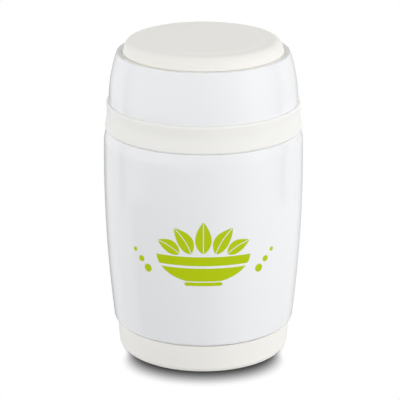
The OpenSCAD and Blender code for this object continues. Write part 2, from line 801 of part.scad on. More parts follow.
base_cup();
foot_pad();
outer_shell();
outer_bottom();
port_bead();
getter();
heat_foil();
liner();
stopper_seal();
stopper_body();
stopper_foam();
stopper_cover();
valve_button();
valve_stem();
valve_spring();
valve_washer();
lid_gasket();
lid_bowl();
spoon_tray();
lid_sleeve();
spoon_handle();
spoon_pin();
spoon_bowl();
cap();
cap_seal();
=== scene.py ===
"""Looks of an insulated food jar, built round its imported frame.

Lengths in the outlines are millimetres, and every piece stands where its CAD node stands.
"""

import math

import bpy
import numpy as np
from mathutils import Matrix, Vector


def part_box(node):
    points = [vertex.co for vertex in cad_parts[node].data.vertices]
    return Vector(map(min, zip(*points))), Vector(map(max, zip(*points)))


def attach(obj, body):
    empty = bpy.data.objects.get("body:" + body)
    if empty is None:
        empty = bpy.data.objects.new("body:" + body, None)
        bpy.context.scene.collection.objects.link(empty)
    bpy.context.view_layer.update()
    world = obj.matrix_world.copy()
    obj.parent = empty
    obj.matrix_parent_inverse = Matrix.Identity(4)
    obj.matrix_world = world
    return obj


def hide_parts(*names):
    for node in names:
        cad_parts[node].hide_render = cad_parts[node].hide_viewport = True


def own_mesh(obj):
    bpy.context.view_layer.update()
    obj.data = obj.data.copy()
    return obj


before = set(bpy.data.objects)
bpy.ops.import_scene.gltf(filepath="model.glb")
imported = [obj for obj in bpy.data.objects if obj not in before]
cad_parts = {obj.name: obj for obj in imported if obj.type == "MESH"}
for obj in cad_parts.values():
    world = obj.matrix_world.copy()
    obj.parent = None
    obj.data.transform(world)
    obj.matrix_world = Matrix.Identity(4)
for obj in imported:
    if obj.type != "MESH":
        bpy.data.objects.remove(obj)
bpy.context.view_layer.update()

MM = 0.001


# ---- sizes


def span(node):
    """Outer radius, lowest and highest point of a CAD node turned round Z, in millimetres."""
    low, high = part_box(node)
    return round(max(high.x, high.y) / MM, 2), round(low.z / MM, 2), round(high.z / MM, 2)


BASE_TOP_R, BASE_FOOT_Z, BASE_TOP_Z = span("base_cup")
PAD_R, PAD_FOOT_Z, PAD_TOP_Z = span("foot_pad")
BARREL_R, SHELL_FOOT_Z, NECK_TOP_Z = span("outer_shell")
LINER_R, LINER_FOOT_Z, MOUTH_Z = span("liner")
SEAL_R, SEAL_LOW_Z, SEAL_TOP_Z = span("stopper_seal")
FLANGE_R, PLUG_Z, COVER_Z = span("stopper_body")
_, COVER_LOW_Z, GRIP_Z = span("stopper_cover")
BUTTON_R, BUTTON_SKIRT_Z, BUTTON_TOP_Z = span("valve_button")
STEM_HEAD_R, STEM_LOW_Z, STEM_TOP_Z = span("valve_stem")
WASHER_R, WASHER_LOW_Z, WASHER_TOP_Z = span("valve_washer")
SPRING_R, SPRING_LOW_Z, SPRING_TOP_Z = span("valve_spring")
GASKET_R, GASKET_LOW_Z, GASKET_TOP_Z = span("lid_gasket")
BEAD_R, LID_FOOT_Z, ROOF_TOP_Z = span("lid_bowl")
TRAY_R, TRAY_LOW_Z, TRAY_TOP_Z = span("spoon_tray")
SLEEVE_R, SLEEVE_FOOT_Z, RIM_Z = span("lid_sleeve")
CAP_R, CAP_FOOT_Z, CAP_TOP_Z = span("cap")
CAP_SEAL_R, CAP_SEAL_LOW_Z, _ = span("cap_seal")

STEEL = 0.6  # sheet of the barrel, the liner and the sleeve
PART_GAP = 0.3  # between pieces that come apart
SEAL_GAP = 0.1  # round seals

# Barrel: the side follows one long arc
BARREL_WIDE_Z = 99
BARREL_BOW_R = 720
SEAM_Z = BASE_TOP_Z + PART_GAP
FOOT_CURL_R = 4
SHOULDER_Z = LID_FOOT_Z - PART_GAP
SHOULDER_R = BEAD_R - 0.6
SHOULDER_TAPER_H = 5
SHOULDER_TAPER = 1.1
NECK_R = SHOULDER_R - 7.2
BASE_OUT_R = BASE_TOP_R - 0.45
BASE_SIDE_R = BASE_OUT_R - 1.5
BASE_BORE_R = BASE_TOP_R - 2.4
BASE_ROUND_R = 4.4
BASE_FLOOR_T = 2.2
BASE_LEDGE_Z = 6.4  # carries the barrel's foot
BASE_LEDGE_W = 3.6
BARREL_FOOT_R = BASE_BORE_R - 0.2
PAD_W = 10
PAD_RIDGES = 3
DISH_DEPTH = 0.5
GATE_R = 0.9  # mark of the mould's gate, in the dish
GATE_DEPTH = 0.4

# Liner
LINER_BORE_R = LINER_R - STEEL
LINER_FLOOR_Z = LINER_FOOT_Z + STEEL
LINER_ROUND_R = 12
LINER_SLOPE_Z = MOUTH_Z - 18
LINER_WALL_Z = LINER_SLOPE_Z - 5
LINER_NECK_R = NECK_R - STEEL - 1.4
LINER_MOUTH_R = LINER_NECK_R - STEEL

# Lid and cap
BAND_TOP_Z = SLEEVE_FOOT_Z + 1.6
BAND_H = BAND_TOP_Z - LID_FOOT_Z
SEAT_Z = SLEEVE_FOOT_Z + 0.5
WAIST_R = BEAD_R - 1.15
LIP_R = BEAD_R - 0.75
LID_BORE_R = NECK_R + 2.2
BOWL_R = LID_BORE_R - 1.2
BOWL_OUT_R = BOWL_R + 2
ROOF_Z = ROOF_TOP_Z - 1.5
GASKET_W = 1.6
FOOT_PLAY = 0.06  # between the lid's foot and the shoulder
SLEEVE_PLAY = 0.15  # between the sleeve and the seat inside it
SLEEVE_BOW_R = 82
RIM_BORE_R = TRAY_R - 1.35
TRAY_T = 1.3
TRAY_Z = TRAY_LOW_Z + TRAY_T
TRAY_STEP_Z = CAP_FOOT_Z - PART_GAP
TRAY_STEP_W = 2.4
CAP_T = 1.8
CAP_DISC_R = CAP_R - 12.8
CAP_FLAT_R = CAP_R - 8.8
CAP_ROUND_R = CAP_R - 5.3
CAP_CROWN = 0.35
CAP_WALL_Z = RIM_Z + 1.6
CAP_LEAN = 0.4
CAP_GROOVE_R = CAP_SEAL_R - 1.7

# Stopper
STOPPER_T = 1.6
PLUG_R = LINER_MOUTH_R - 1.9
FLANGE_Z = SEAL_TOP_Z + SEAL_GAP
GRIP_R = FLANGE_R - 0.6
GRIP_BORE_R = GRIP_R - 4
COVER_FLOOR_Z = COVER_Z + STOPPER_T
WELL_R = BUTTON_R + PART_GAP
WELL_OUT_R = WELL_R + 2.2
WELL_TOP_Z = GRIP_Z - 1.2
GRIP_NOTCHES = 36
NOTCH_DEPTH = 0.95
RIB_W = 2.4
RIB_TOP_Z = GRIP_Z - 2
STEM_R = 2.4
STEM_PLAY = 0.08
SPRING_WIRE_R = 0.35
SPRING_TURNS = 4.5
SPRING_STEPS = 40  # to a turn

# Screw threads
THREAD_LEAD = 12
THREAD_STARTS = 3
THREAD_SPAN = 100  # degrees, of which the ridge rises and sinks over THREAD_FADE
THREAD_FADE = 10
THREAD_STEPS = 80
LID_THREAD_T = 1.6
STOPPER_THREAD_T = 1.3
NECK_THREAD_Z = SHOULDER_Z + 4.6
LINER_THREAD_Z = MOUTH_Z - 11
THREAD_OFFSET = THREAD_LEAD / THREAD_STARTS / 2

# Folding spoon
HINGE_X = 30
PIN_R = 1.2
PIN_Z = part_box("spoon_pin")[1].z / MM - PIN_R
KNUCKLE_R = 2.2
KNUCKLE_W = 8
SPOON_T = 1.2
SPOON_LIP = 0.4
SPOON_NECK_L = 14
HANDLE_W = 13
HANDLE_T = 2.2
HANDLE_RECESS = 3  # from the handle's edge to its recess
EAR_TOP = 0.8  # from the handle's top to its ears' top
EGG = 0.12  # how far the bowl's outline departs from an ellipse
EGG_WIDEST = 1.0072  # highest value of sin(a) * (1 - EGG * cos(a))


# ---- surfaces

UP = np.array([0, 0, 1.0])


def unit(v):
    """A vector, or each row of vectors, at length 1."""
    return v / np.linalg.norm(v, axis=-1, keepdims=True)


def once_round(count):
    """Angles once round a circle, in radians."""
    return np.linspace(0, 2 * math.pi, count, endpoint=False)


def rounded(corners, step=8):
    """Outline points from corners (x, y, rounding): an arc tangent to both edges stands for each corner,
    its reach limited to 0.49 of the shorter edge. A corner without rounding stays sharp."""
    flat = np.array([c[:2] for c in corners], float)
    outline = []
    for i, corner in enumerate(corners):
        here = flat[i]
        if len(corner) < 3 or corner[2] <= 0:
            outline.append([here])
            continue
        before, after = flat[i - 1], flat[(i + 1) % len(flat)]
        u, v = unit(before - here), unit(after - here)
        half = math.acos(max(-1.0, min(1.0, float(u @ v)))) / 2
        shorter = min(np.linalg.norm(before - here), np.linalg.norm(after - here))
        reach = min(corner[2] / math.tan(half), 0.49 * shorter)
        centre = here + unit(u + v) * reach / math.cos(half)
        first, last = here + u * reach - centre, here + v * reach - centre
        start = math.atan2(first[1], first[0])
        sweep = math.remainder(math.atan2(last[1], last[0]) - start, 2 * math.pi)
        count = max(2, math.ceil(abs(sweep) / math.radians(step)))
        turns = start + sweep * np.linspace(0, 1, count + 1)
        radius = np.linalg.norm(first)
        outline.append(centre + radius * np.stack([np.cos(turns), np.sin(turns)], 1))
    return np.concatenate(outline)


def skin(rings, loop=False, ends=None):
    """A closed surface over rings (N, M, 3): quads join each ring to the next, and the last to the first
    where they loop. Otherwise a fan of triangles closes each end, about its middle or a given point."""
    rings = np.asarray(rings, float)
    count, around = rings.shape[:2]
    points = rings.reshape(-1, 3)
    row = np.arange(count if loop else count - 1)[:, None] * around
    next_row = (row + around) % (count * around)
    col = np.arange(around)[None, :]
    next_col = (col + 1) % around
    quads = np.stack([row + col, row + next_col, next_row + next_col, next_row + col], -1).reshape(-1, 4)
    faces = quads.tolist()
    if not loop:
        middles = ends if ends is not None else (rings[0].mean(0), rings[-1].mean(0))
        points = np.concatenate([points, np.array(middles, float)])
        low, high = count * around, count * around + 1
        j, k = col[0], next_col[0]
        last = (count - 1) * around
        faces += np.stack([k, j, np.full(around, low)], 1).tolist()
        faces += np.stack([last + j, last + k, np.full(around, high)], 1).tolist()
    return outward(points, faces)


def outward(points, faces):
    """Turns a closed surface's faces outwards: its volume, summed over a fan of each face, is positive."""
    quads = np.array([f if len(f) == 4 else f + [f[2]] for f in faces])
    a, b, c, d = (points[quads[:, i]] for i in range(4))
    volume = (np.cross(a, b) * c + np.cross(a, c) * d).sum()
    return (points, faces) if volume > 0 else (points, [f[::-1] for f in faces])


def turned(outline, around=256, carve=None, step=8):
    """A surface of revolution: each outline point (radius, height) goes once round Z.
    An outline that starts and ends on the axis closes in two poles, any other in a loop.
    carve(radius, height, angle) gives a new radius for every point of the grid."""
    points = rounded(outline, step)
    poles = abs(points[0, 0]) < 1e-9 and abs(points[-1, 0]) < 1e-9
    ends = [(0, 0, points[0, 1]), (0, 0, points[-1, 1])] if poles else None
    if poles:
        points = points[1:-1]
    angle = once_round(around)[None, :]
    radius, height = points[:, :1] + 0 * angle, points[:, 1:] + 0 * angle
    if carve:
        radius = carve(radius, height, angle + 0 * radius)
    rings = np.stack([radius * np.cos(angle), radius * np.sin(angle), height], -1)
    return skin(rings, loop=not poles, ends=ends)


def swept(path, side, section, scale=1.0):
    """A section (M, 2) carried along a path (N, 3): at each station it lies on the side vector and Z,
    scaled there, and a fan closes each end."""
    scale = np.broadcast_to(scale, (len(path),))[:, None, None]
    across = section[:, :1] * scale * np.broadcast_to(side, path.shape)[:, None, :]
    return skin(path[:, None, :] + across + section[:, 1:] * scale * UP)


def helix(radius, turn, height):
    """Points at a radius and height over turns in radians, and the outward vector at each."""
    out = np.stack([np.cos(turn), np.sin(turn), 0 * turn], 1)
    path = radius * out
    path[:, 2] = height
    return path, out


def thread(root, depth, z):
    """Screw ridges: a rounded trapezoid carried up a helix of the thread's lead, once for each start.
    Its height rises from nothing and sinks back over the fade angle. A negative depth stands inwards."""
    turn = np.linspace(0, THREAD_SPAN, THREAD_STEPS)
    grow = np.clip(np.minimum(turn, THREAD_SPAN - turn) / THREAD_FADE, 0.02, 1) ** 0.5
    tip = abs(depth)
    corners = [
        (-0.3, -0.95), (0.15, -0.9, 0.3), (tip, -0.4, 0.35), (tip, 0.4, 0.35), (0.15, 0.9, 0.3), (-0.3, 0.95),
    ]
    profile = rounded(corners, step=20)
    ridges = []
    for start in range(THREAD_STARTS):
        angle = np.radians(turn + 360 * start / THREAD_STARTS)
        path, out = helix(root, angle, z + THREAD_LEAD * turn / 360)
        ridges.append(swept(path, out * math.copysign(1, depth), profile, grow))
    return ridges


def strip_line(start, end, width, rounding, count):
    """A rounded rectangle along X: four quarter arcs, the near pair and the far pair of their own radius."""
    near, far = rounding
    quarter = np.linspace(0, math.pi / 2, count)
    line = []
    for cx, cy, r, turn in (
        (end - far, width / 2 - far, far, 0),
        (start + near, width / 2 - near, near, math.pi / 2),
        (start + near, near - width / 2, near, math.pi),
        (end - far, far - width / 2, far, 1.5 * math.pi),
    ):
        line.append(np.stack([cx + r * np.cos(quarter + turn), cy + r * np.sin(quarter + turn)], 1))
    return np.concatenate(line)


def block(low, high, rounding, axis=2):
    """A box with rounded edges: its outline across the axis is a rounded rectangle, drawn at heights
    whose inset follows a quarter circle at both ends."""
    order = [(axis + 1) % 3, (axis + 2) % 3, axis]
    low, high = np.array(low, float)[order], np.array(high, float)[order]
    arc = np.linspace(0, math.pi / 2, 5)
    inset = rounding * (1 - np.sin(arc))
    rise = rounding * (1 - np.cos(arc))
    levels = list(zip(inset, low[2] + rise)) + list(zip(inset[::-1], high[2] - rise[::-1]))
    middle = (low[1] + high[1]) / 2
    rings = []
    for shrink, level in levels:
        radius = max(0.02, rounding - shrink) * 0.98
        width = high[1] - low[1] - 2 * shrink
        line = strip_line(low[0] + shrink, high[0] - shrink, width, (radius, radius), 4)
        rings.append(np.stack([line[:, 0], line[:, 1] + middle, np.full(len(line), level)], 1))
    rings = np.array(rings)
    back = np.empty_like(rings)
    back[..., order] = rings
    return skin(back)


def rod(radius, low, high, chamfer=0.15):
    """A round rod along the spoon's hinge, its ends eased by a small chamfer."""
    angle = once_round(48)
    small = radius - chamfer
    rings = [
        np.stack([r * np.cos(angle) - HINGE_X, y + 0 * angle, r * np.sin(angle) + PIN_Z], 1)
        for r, y in ((small, low), (radius, low + chamfer), (radius, high - chamfer), (small, high))
    ]
    return skin(rings)


def column(items, field, kind=float, width=1):
    """One field of each of a mesh's items, as an array."""
    values = np.empty(len(items) * width, kind)
    items.foreach_get(field, values)
    return values.reshape(-1, width)


def smooth(mesh):
    """Smooth shading whose normals lean to the larger faces, so that flats beside roundings look flat."""
    weighted = column(mesh.polygons, "normal", width=3) * column(mesh.polygons, "area")
    weighted = np.repeat(weighted, column(mesh.polygons, "loop_total", int)[:, 0], axis=0)
    corner = column(mesh.loops, "vertex_index", int)[:, 0]
    total = np.stack([np.bincount(corner, weighted[:, i], len(mesh.vertices)) for i in range(3)], 1)
    total /= np.maximum(np.linalg.norm(total, axis=1, keepdims=True), 1e-20)
    mesh.shade_smooth()
    mesh.normals_split_custom_set_from_vertices(total)


def placed(name, data):
    """A new object of the scene."""
    made = bpy.data.objects.new(name, data)
    bpy.context.scene.collection.objects.link(made)
    return made


def piece(name, shells, material, body, node=None):
    """Makes one piece from closed shells of points in millimetres, and seats it on its body. It replaces
    its CAD node, if it has one."""
    points, faces, offset = [], [], 0
    for shell_points, shell_faces in shells:
        points.append(shell_points)
        faces += [[i + offset for i in f] for f in shell_faces]
        offset += len(shell_points)
    mesh = bpy.data.meshes.new(name)
    mesh.from_pydata(np.concatenate(points) * MM, [], faces)
    smooth(mesh)
    mesh.materials.append(material)
    made = placed(name, mesh)
    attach(made, body)
    if node:
        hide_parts(node)
    return made


def soft_ring(name, material, body, node, around, rounding, inner, outer, low, high):
    """A soft ring turned from a rectangle: its roundings are those of the inner low, outer low, outer high
    and inner high corners."""
    outline = list(zip((inner, outer, outer, inner), (low, low, high, high), rounding))
    piece(name, [turned(outline, around)], material, body, node)


# ---- shader maths


def operator(name):
    """An operator of Wire that adds a Math node of that name."""
    return lambda *values: values[0].maths(name, *values)


class Wire:
    """A node's output that takes part in arithmetic."""

    __add__ = __radd__ = operator("ADD")
    __mul__ = __rmul__ = operator("MULTIPLY")
    __sub__ = operator("SUBTRACT")
    __truediv__ = operator("DIVIDE")
    __pow__ = operator("POWER")

    def __init__(self, graph, socket):
        self.graph, self.socket = graph, socket

    def __rsub__(self, other):
        return self.maths("SUBTRACT", other, self)

    def maths(self, name, *values):
        return self.graph.add("Math", dict(enumerate(values)), {"operation": name})


class Graph:
    """The node tree of a material or of the world, filled by expressions."""

    def __init__(self, owner):
        owner.use_nodes = True
        self.tree = owner.node_tree
        self.tree.nodes.clear()

    def add(self, kind, sockets=None, settings=None, out=0, stops=None):
        """Adds a node of a type. Its settings and a ramp's stops are set first, then the values or links of
        its sockets, each named by its label or its number. Returns the output of that label or number."""
        node = self.tree.nodes.new("ShaderNode" + kind)
        for key, value in (settings or {}).items():
            setattr(node, key, value)
        if stops:
            ramp = node.color_ramp
            while len(ramp.elements) < len(stops):
                ramp.elements.new(1.0)
            for element, (position, level) in zip(ramp.elements, stops):
                element.position = position
                element.color = grey(level)
        for key, value in (sockets or {}).items():
            if isinstance(value, Wire):
                self.tree.links.new(value.socket, node.inputs[key])
            else:
                node.inputs[key].default_value = value
        return Wire(self, node.outputs[out]) if node.outputs else None

    def where(self):
        """The place on the piece, as a vector in metres."""
        return self.add("TexCoord", out="Object")

    def split(self, vector):
        """The x, y and z of a vector."""
        return [self.add("SeparateXYZ", {0: vector}, out=i) for i in range(3)]

    def noise(self, scale, detail, roughness, where):
        """Noise from 0 to 1 at a scale in cells per metre."""
        sockets = {"Scale": scale, "Detail": detail, "Roughness": roughness, "Vector": where}
        return self.add("TexNoise", sockets)

    def mix(self, share, first, second):
        """A colour between two, by share."""
        return self.add("Mix", {0: share, 6: first, 7: second}, {"data_type": "RGBA"}, out=2)

    def step(self, value, low, high):
        """A smooth step from 0 to 1 as the value goes from low to high."""
        sockets = {"Value": value, "From Min": low, "From Max": high}
        return self.add("MapRange", sockets, {"interpolation_type": "SMOOTHSTEP"})

    def bump(self, height, depth, strength=1.0):
        """A normal from a height of 0 to 1 that stands for a depth in metres."""
        return self.add("Bump", {"Height": height, "Distance": depth, "Strength": strength}, out="Normal")


def grey(level):
    """A neutral colour."""
    return (level, level, level, 1)


def material(name, sockets, maker):
    """A material from Principled values. maker(graph) gives the sockets that change over the surface."""
    made = bpy.data.materials.new(name)
    graph = Graph(made)
    shader = graph.add("BsdfPrincipled", {**sockets, **maker(graph)})
    graph.add("OutputMaterial", {"Surface": shader})
    return made


# ---- finishes

WHITE = (0.862, 0.87, 0.885, 1)
WHITE_SHADE = (0.855, 0.864, 0.881, 1)
CREAM = (0.877, 0.866, 0.837)
STEEL_PALE = grey(0.7)
LINES = 9000  # lathe lines per metre
PLASTIC_GRAIN = 0.000012  # depth of the mould's spark grain, in metres


def lacquered(g, where):
    """Sprayed lacquer: a trace of uneven tint, nearly smooth, with the faint orange peel of broad soft
    cells and finer ones on them. Returns its colour, roughness and normal."""
    tint = g.noise(25, 2, 0.5, where)
    rough = g.noise(60, 3, 0.6, where)
    peel = g.noise(160, 1.0, 0.4, where) * 0.7 + g.noise(700, 1.0, 0.4, where) * 0.3
    return g.mix(tint, WHITE, WHITE_SHADE), rough * 0.02 + 0.02, g.bump(peel, 0.000003)


def white_lacquer(g):
    """Glossy white lacquer on steel."""
    colour, rough, normal = lacquered(g, g.where())
    return {"Base Color": colour, "Roughness": rough, "Normal": normal}


def turned_lines(g, x, y, z):
    """Fine lines round the axis: noise that changes fast with radius and height, and slowly round about."""
    radius = (x * x + y * y) ** 0.5
    lines = g.add("CombineXYZ", {0: radius * LINES, 1: z * LINES, 2: (x + y) * 12})
    return g.noise(1.0, 3, 0.7, lines)


def painted_barrel(g):
    """White lacquer up to the shoulder's inner edge, and bare turned steel on the neck above it."""
    where = g.where()
    x, y, z = g.split(where)
    wander = g.noise(300, 2, 0.5, where) * 0.0002
    bare = g.step(z + wander, (SHOULDER_Z + 0.5) * MM, (SHOULDER_Z + 0.7) * MM)
    lines = turned_lines(g, x, y, z)
    metal = g.mix(lines, (0.56, 0.56, 0.565, 1), STEEL_PALE)
    brushed = g.bump(lines, 0.000006, 0.5)
    paint, rough, peel = lacquered(g, where)
    return {
        "Base Color": g.mix(bare, paint, metal),
        "Metallic": bare,
        "Roughness": (1 - bare) * rough + bare * (lines * 0.12 + 0.2),
        "Normal": g.add("Mix", {0: bare, 4: peel, 5: brushed}, {"data_type": "VECTOR"}, out=1),
    }


def turned_steel(g):
    """Stainless steel polished in the lathe: fine lines round the axis, and a soft cloud of wear."""
    where = g.where()
    lines = turned_lines(g, *g.split(where))
    cloud = g.noise(45, 3, 0.6, where)
    return {
        "Base Color": g.mix(lines * 0.6 + cloud * 0.4, (0.54, 0.54, 0.545, 1), STEEL_PALE),
        "Roughness": lines * 0.1 + cloud * 0.1 + 0.16,
        "Normal": g.bump(lines, 0.000006, 0.5),
    }


def open_foam(g):
    """Open foam: round cells with thin walls between them, each cell darker towards its middle as painted
    shade in its hollow.
    """
    cells = g.add("TexVoronoi", {"Vector": g.where(), "Scale": 900}, out="Distance")
    # Painted shade: the colour darkens towards each cell's middle, where the foam's hollows lie
    colour = g.mix(cells, (0.5, 0.44, 0.3, 1), (0.8, 0.74, 0.58, 1))
    return {"Base Color": colour, "Normal": g.bump(cells, 0.0004)}


def copper_foil(g):
    """Thin copper foil with the creases of its wrapping, darker in the creases as painted shade."""
    creases = g.add("TexVoronoi", {"Vector": g.where(), "Scale": 90}, {"feature": "DISTANCE_TO_EDGE"})
    fold_relief_and_shade = g.step(creases, 0.0, 0.12)
    return {
        # Painted shade: the colour darkens into the creases
        "Base Color": g.mix(fold_relief_and_shade, (0.5, 0.24, 0.13, 1), (0.86, 0.5, 0.33, 1)),
        "Roughness": fold_relief_and_shade * -0.12 + 0.34,
        "Normal": g.bump(fold_relief_and_shade, 0.0002, 0.6),
    }


def moulded(name, colour, shade, rough):
    """Satin moulded plastic: fine spark grain, soft mottling and slightly uneven gloss."""

    def surface(g):
        where = g.where()
        mottle = g.noise(38, 3, 0.55, where)
        cells = g.noise(2600, 2, 0.6, where)
        return {
            "Base Color": g.mix(mottle, colour, shade),
            "Roughness": g.noise(90, 2, 0.5, where) * 0.08 + (rough - 0.04) + cells * 0.04,
            "Normal": g.bump(cells, PLASTIC_GRAIN, 0.6),
        }

    return material(name, {"IOR": 1.48}, surface)


def cream_plastic(name, tint):
    """Cream polypropylene, satin, its colour the cream scaled by a tint: slightly bluer for the lid's band,
    and lighter and a little warmer for the base cup, where the lightening is painted light.
    """
    colour = tuple(level * share for level, share in zip(CREAM, tint))
    return moulded(name, (*colour, 1), (*(level * 0.99 for level in colour), 1), 0.42)


def grained(name, sockets, grain, colours, rough=None, bump=None, skin_grain=None):
    """A finish of one grain: noise (scale, detail, roughness) shifts the colour between two. A share of it
    is added to a least roughness, and it stands out by a bump's depth and strength, where these are given.
    A grain of the skin stands out in its place."""

    def surface(g):
        level = g.noise(*grain, g.where())
        changing = {"Base Color": g.mix(level, *colours)}
        if rough:
            changing["Roughness"] = level * rough[0] + rough[1]
        if bump:
            changing["Normal"] = g.bump(g.noise(*skin_grain, g.where()) if skin_grain else level, *bump)
        return changing

    return material(name, sockets, surface)


def silicone(name, *colours):
    """Soft silicone with a faint cloud in it, and a fine skin."""
    return grained(name, {"IOR": 1.41}, (120, 2, 0.5), colours, (0.1, 0.38), (0.000008, 0.5), (1800, 2, 0.5))


lacquer = material("white_lacquer", {"IOR": 1.5}, white_lacquer)
barrel_finish = material("white_lacquer_on_steel", {"IOR": 1.5}, painted_barrel)
steel = material("turned_steel", {"Metallic": 1.0}, turned_steel)
foil = material("copper_foil", {"Metallic": 1.0}, copper_foil)
foam = material("open_foam", {"Roughness": 0.9}, open_foam)
cream = cream_plastic("cream_plastic", (1, 1, 0.985))
pale_cream = cream_plastic("pale_cream_plastic", (0.998, 1.004, 1.01))
# Lighter, a little warmer copy of the cream for the base cup: its lightening is painted light on the base
lightened_cream = cream_plastic("warm_cream_plastic", (1.04, 1.03, 1.02))
grey_plastic = moulded("grey_plastic", (0.36, 0.37, 0.38, 1), (0.34, 0.35, 0.36, 1), 0.42)
lime_plastic = moulded("lime_plastic", (0.42, 0.55, 0.01, 1), (0.4, 0.53, 0.01, 1), 0.3)
natural_plastic = moulded("natural_plastic", (0.78, 0.78, 0.76, 1), (0.75, 0.75, 0.73, 1), 0.3)
milky = silicone("milky_silicone", (0.8, 0.81, 0.8, 1), (0.74, 0.75, 0.745, 1))
beige = silicone("beige_silicone", (0.85, 0.825, 0.72, 1), (0.81, 0.785, 0.68, 1))
# Soft rubber, stippled and matt in its hollows
foot_rubber = grained(
    "foot_rubber", {"IOR": 1.42}, (1500, 3, 0.6), ((0.06, 0.06, 0.063, 1), (0.09, 0.09, 0.093, 1)),
    rough=(0.15, 0.68), bump=(0.00004, 0.7),
)
# Screen-printed ink with the faint unevenness of the print
lime_ink = grained(
    "lime_ink", {"IOR": 1.5, "Specular IOR Level": 0.12}, (500, 3, 0.6),
    ((0.46, 0.59, 0.003, 1), (0.48, 0.61, 0.004, 1)), rough=(0.1, 0.3), bump=(0.000006, 0.5),
)
# Bright drawn spring wire
bright_wire = grained(
    "bright_wire", {"Metallic": 1.0}, (2500, 2, 0.6), (grey(0.6), grey(0.78)), rough=(0.12, 0.14)
)
# Sintered getter strip: dark metal grains
sintered = grained(
    "sintered_metal", {"Metallic": 0.6, "Roughness": 0.7}, (3000, 4, 0.7), (grey(0.05), grey(0.22)),
    bump=(0.0001, 0.8),
)
# Fused green solder glass
fused_glass = grained(
    "fused_glass", {"IOR": 1.6, "Transmission Weight": 0.3}, (400, 2, 0.5),
    ((0.16, 0.32, 0.2, 1), (0.3, 0.46, 0.32, 1)), rough=(0.1, 0.05),
)


# ---- jar


def barrel_side(z):
    """Radius of the barrel's side at a height: one long arc, widest at BARREL_WIDE_Z."""
    return BARREL_R - BARREL_BOW_R + np.sqrt(BARREL_BOW_R**2 - (z - BARREL_WIDE_Z) ** 2)


def sleeve_side(z):
    """Radius of the sleeve's side at a height: an arc that leaves the band upright."""
    return SLEEVE_R - SLEEVE_BOW_R + np.sqrt(SLEEVE_BOW_R**2 - (z - SLEEVE_FOOT_Z) ** 2)


def base_side(z):
    """Radius of the base cup's side: it widens upwards, and ever less steeply."""
    share = (BASE_TOP_Z - z) / (BASE_TOP_Z - BASE_FOOT_Z)
    return BASE_OUT_R - (BASE_OUT_R - BASE_SIDE_R) * share**1.6


def run(side, low, high, inset, count):
    """Outline points along a side between two heights, set inwards."""
    z = np.linspace(low, high, count)
    return list(zip(side(z) - inset, z))


def shell_line(inset):
    """The barrel's section from its foot up to the top of the neck, set inwards."""
    taper_z = SHOULDER_Z - SHOULDER_TAPER_H
    turn_in_z = SEAM_Z + inset
    return [
        (BARREL_FOOT_R - inset, SHELL_FOOT_Z),
        (BARREL_FOOT_R - inset, turn_in_z, 0.6),
        (barrel_side(SEAM_Z) - inset, turn_in_z, FOOT_CURL_R - inset),
        *run(barrel_side, SEAM_Z + FOOT_CURL_R + 2, taper_z - 2, inset, 40),
        (SHOULDER_R + SHOULDER_TAPER - inset, taper_z, 12),
        (SHOULDER_R - inset, SHOULDER_Z - inset, 1.2),
        (NECK_R - inset, SHOULDER_Z - inset, 0.8),
        (NECK_R - inset, NECK_TOP_Z),
    ]


def make_outer_shell():
    """Barrel, shoulder and neck of sheet steel, with the neck's thread."""
    shells = [turned(shell_line(0) + shell_line(STEEL)[::-1], 320, step=5)]
    shells += thread(NECK_R, LID_THREAD_T, NECK_THREAD_Z)
    piece("barrel", shells, barrel_finish, "jar", "outer_shell")


def make_base_cup():
    """Cream cup round the foot, with a shallow dish and a gate mark under it."""
    floor_z = BASE_FOOT_Z + BASE_FLOOR_T
    dish_z = BASE_FOOT_Z + DISH_DEPTH
    gate_z = dish_z + GATE_DEPTH
    groove_in, groove_out = PAD_R - PAD_W - SEAL_GAP, PAD_R + SEAL_GAP
    dish_r = PAD_R - PAD_W - 4
    ledge_r = BASE_BORE_R - BASE_LEDGE_W
    rim_z = BASE_TOP_Z - 0.2
    outline = [
        (0, gate_z), (GATE_R, gate_z, 0.2), (GATE_R + GATE_DEPTH, dish_z, 0.2),
        (dish_r - 0.6, dish_z, 0.3), (dish_r, BASE_FOOT_Z, 0.3),
        (groove_in, BASE_FOOT_Z, 0.15), (groove_in, PAD_TOP_Z),
        (groove_out, PAD_TOP_Z), (groove_out, BASE_FOOT_Z, 0.15),
        (BASE_SIDE_R + 0.4, BASE_FOOT_Z - 0.2, BASE_ROUND_R),
        *run(base_side, BASE_TOP_Z / 2, BASE_TOP_Z - 1, 0, 6),
        (BASE_OUT_R, rim_z, 0.5), (BASE_BORE_R, rim_z, 0.2), (BASE_BORE_R, BASE_LEDGE_Z),
        (ledge_r, BASE_LEDGE_Z, 0.3), (ledge_r, floor_z, 1), (0, floor_z),
    ]
    piece("base_cup_cream", [turned(outline, 320, step=5)], lightened_cream, "jar", "base_cup")


def make_foot_pad():
    """Soft ring with grip ridges, let into the base cup's underside."""
    inner = PAD_R - PAD_W
    valley_z = PAD_FOOT_Z + 0.3
    outline = [(inner, PAD_TOP_Z), (inner, valley_z, 0.3)]
    ridge_w = PAD_W / PAD_RIDGES
    for i in range(PAD_RIDGES):
        start, end = inner + i * ridge_w, inner + (i + 1) * ridge_w
        outline += [(start + 0.5, PAD_FOOT_Z, 0.3), (end - 0.5, PAD_FOOT_Z, 0.3), (end - 0.1, valley_z, 0.2)]
    # The last ridge ends at the ring's edge
    outline[-1] = (PAD_R, valley_z, 0.3)
    outline.append((PAD_R, PAD_TOP_Z))
    piece("foot_ring", [turned(outline, 192)], foot_rubber, "jar", "foot_pad")


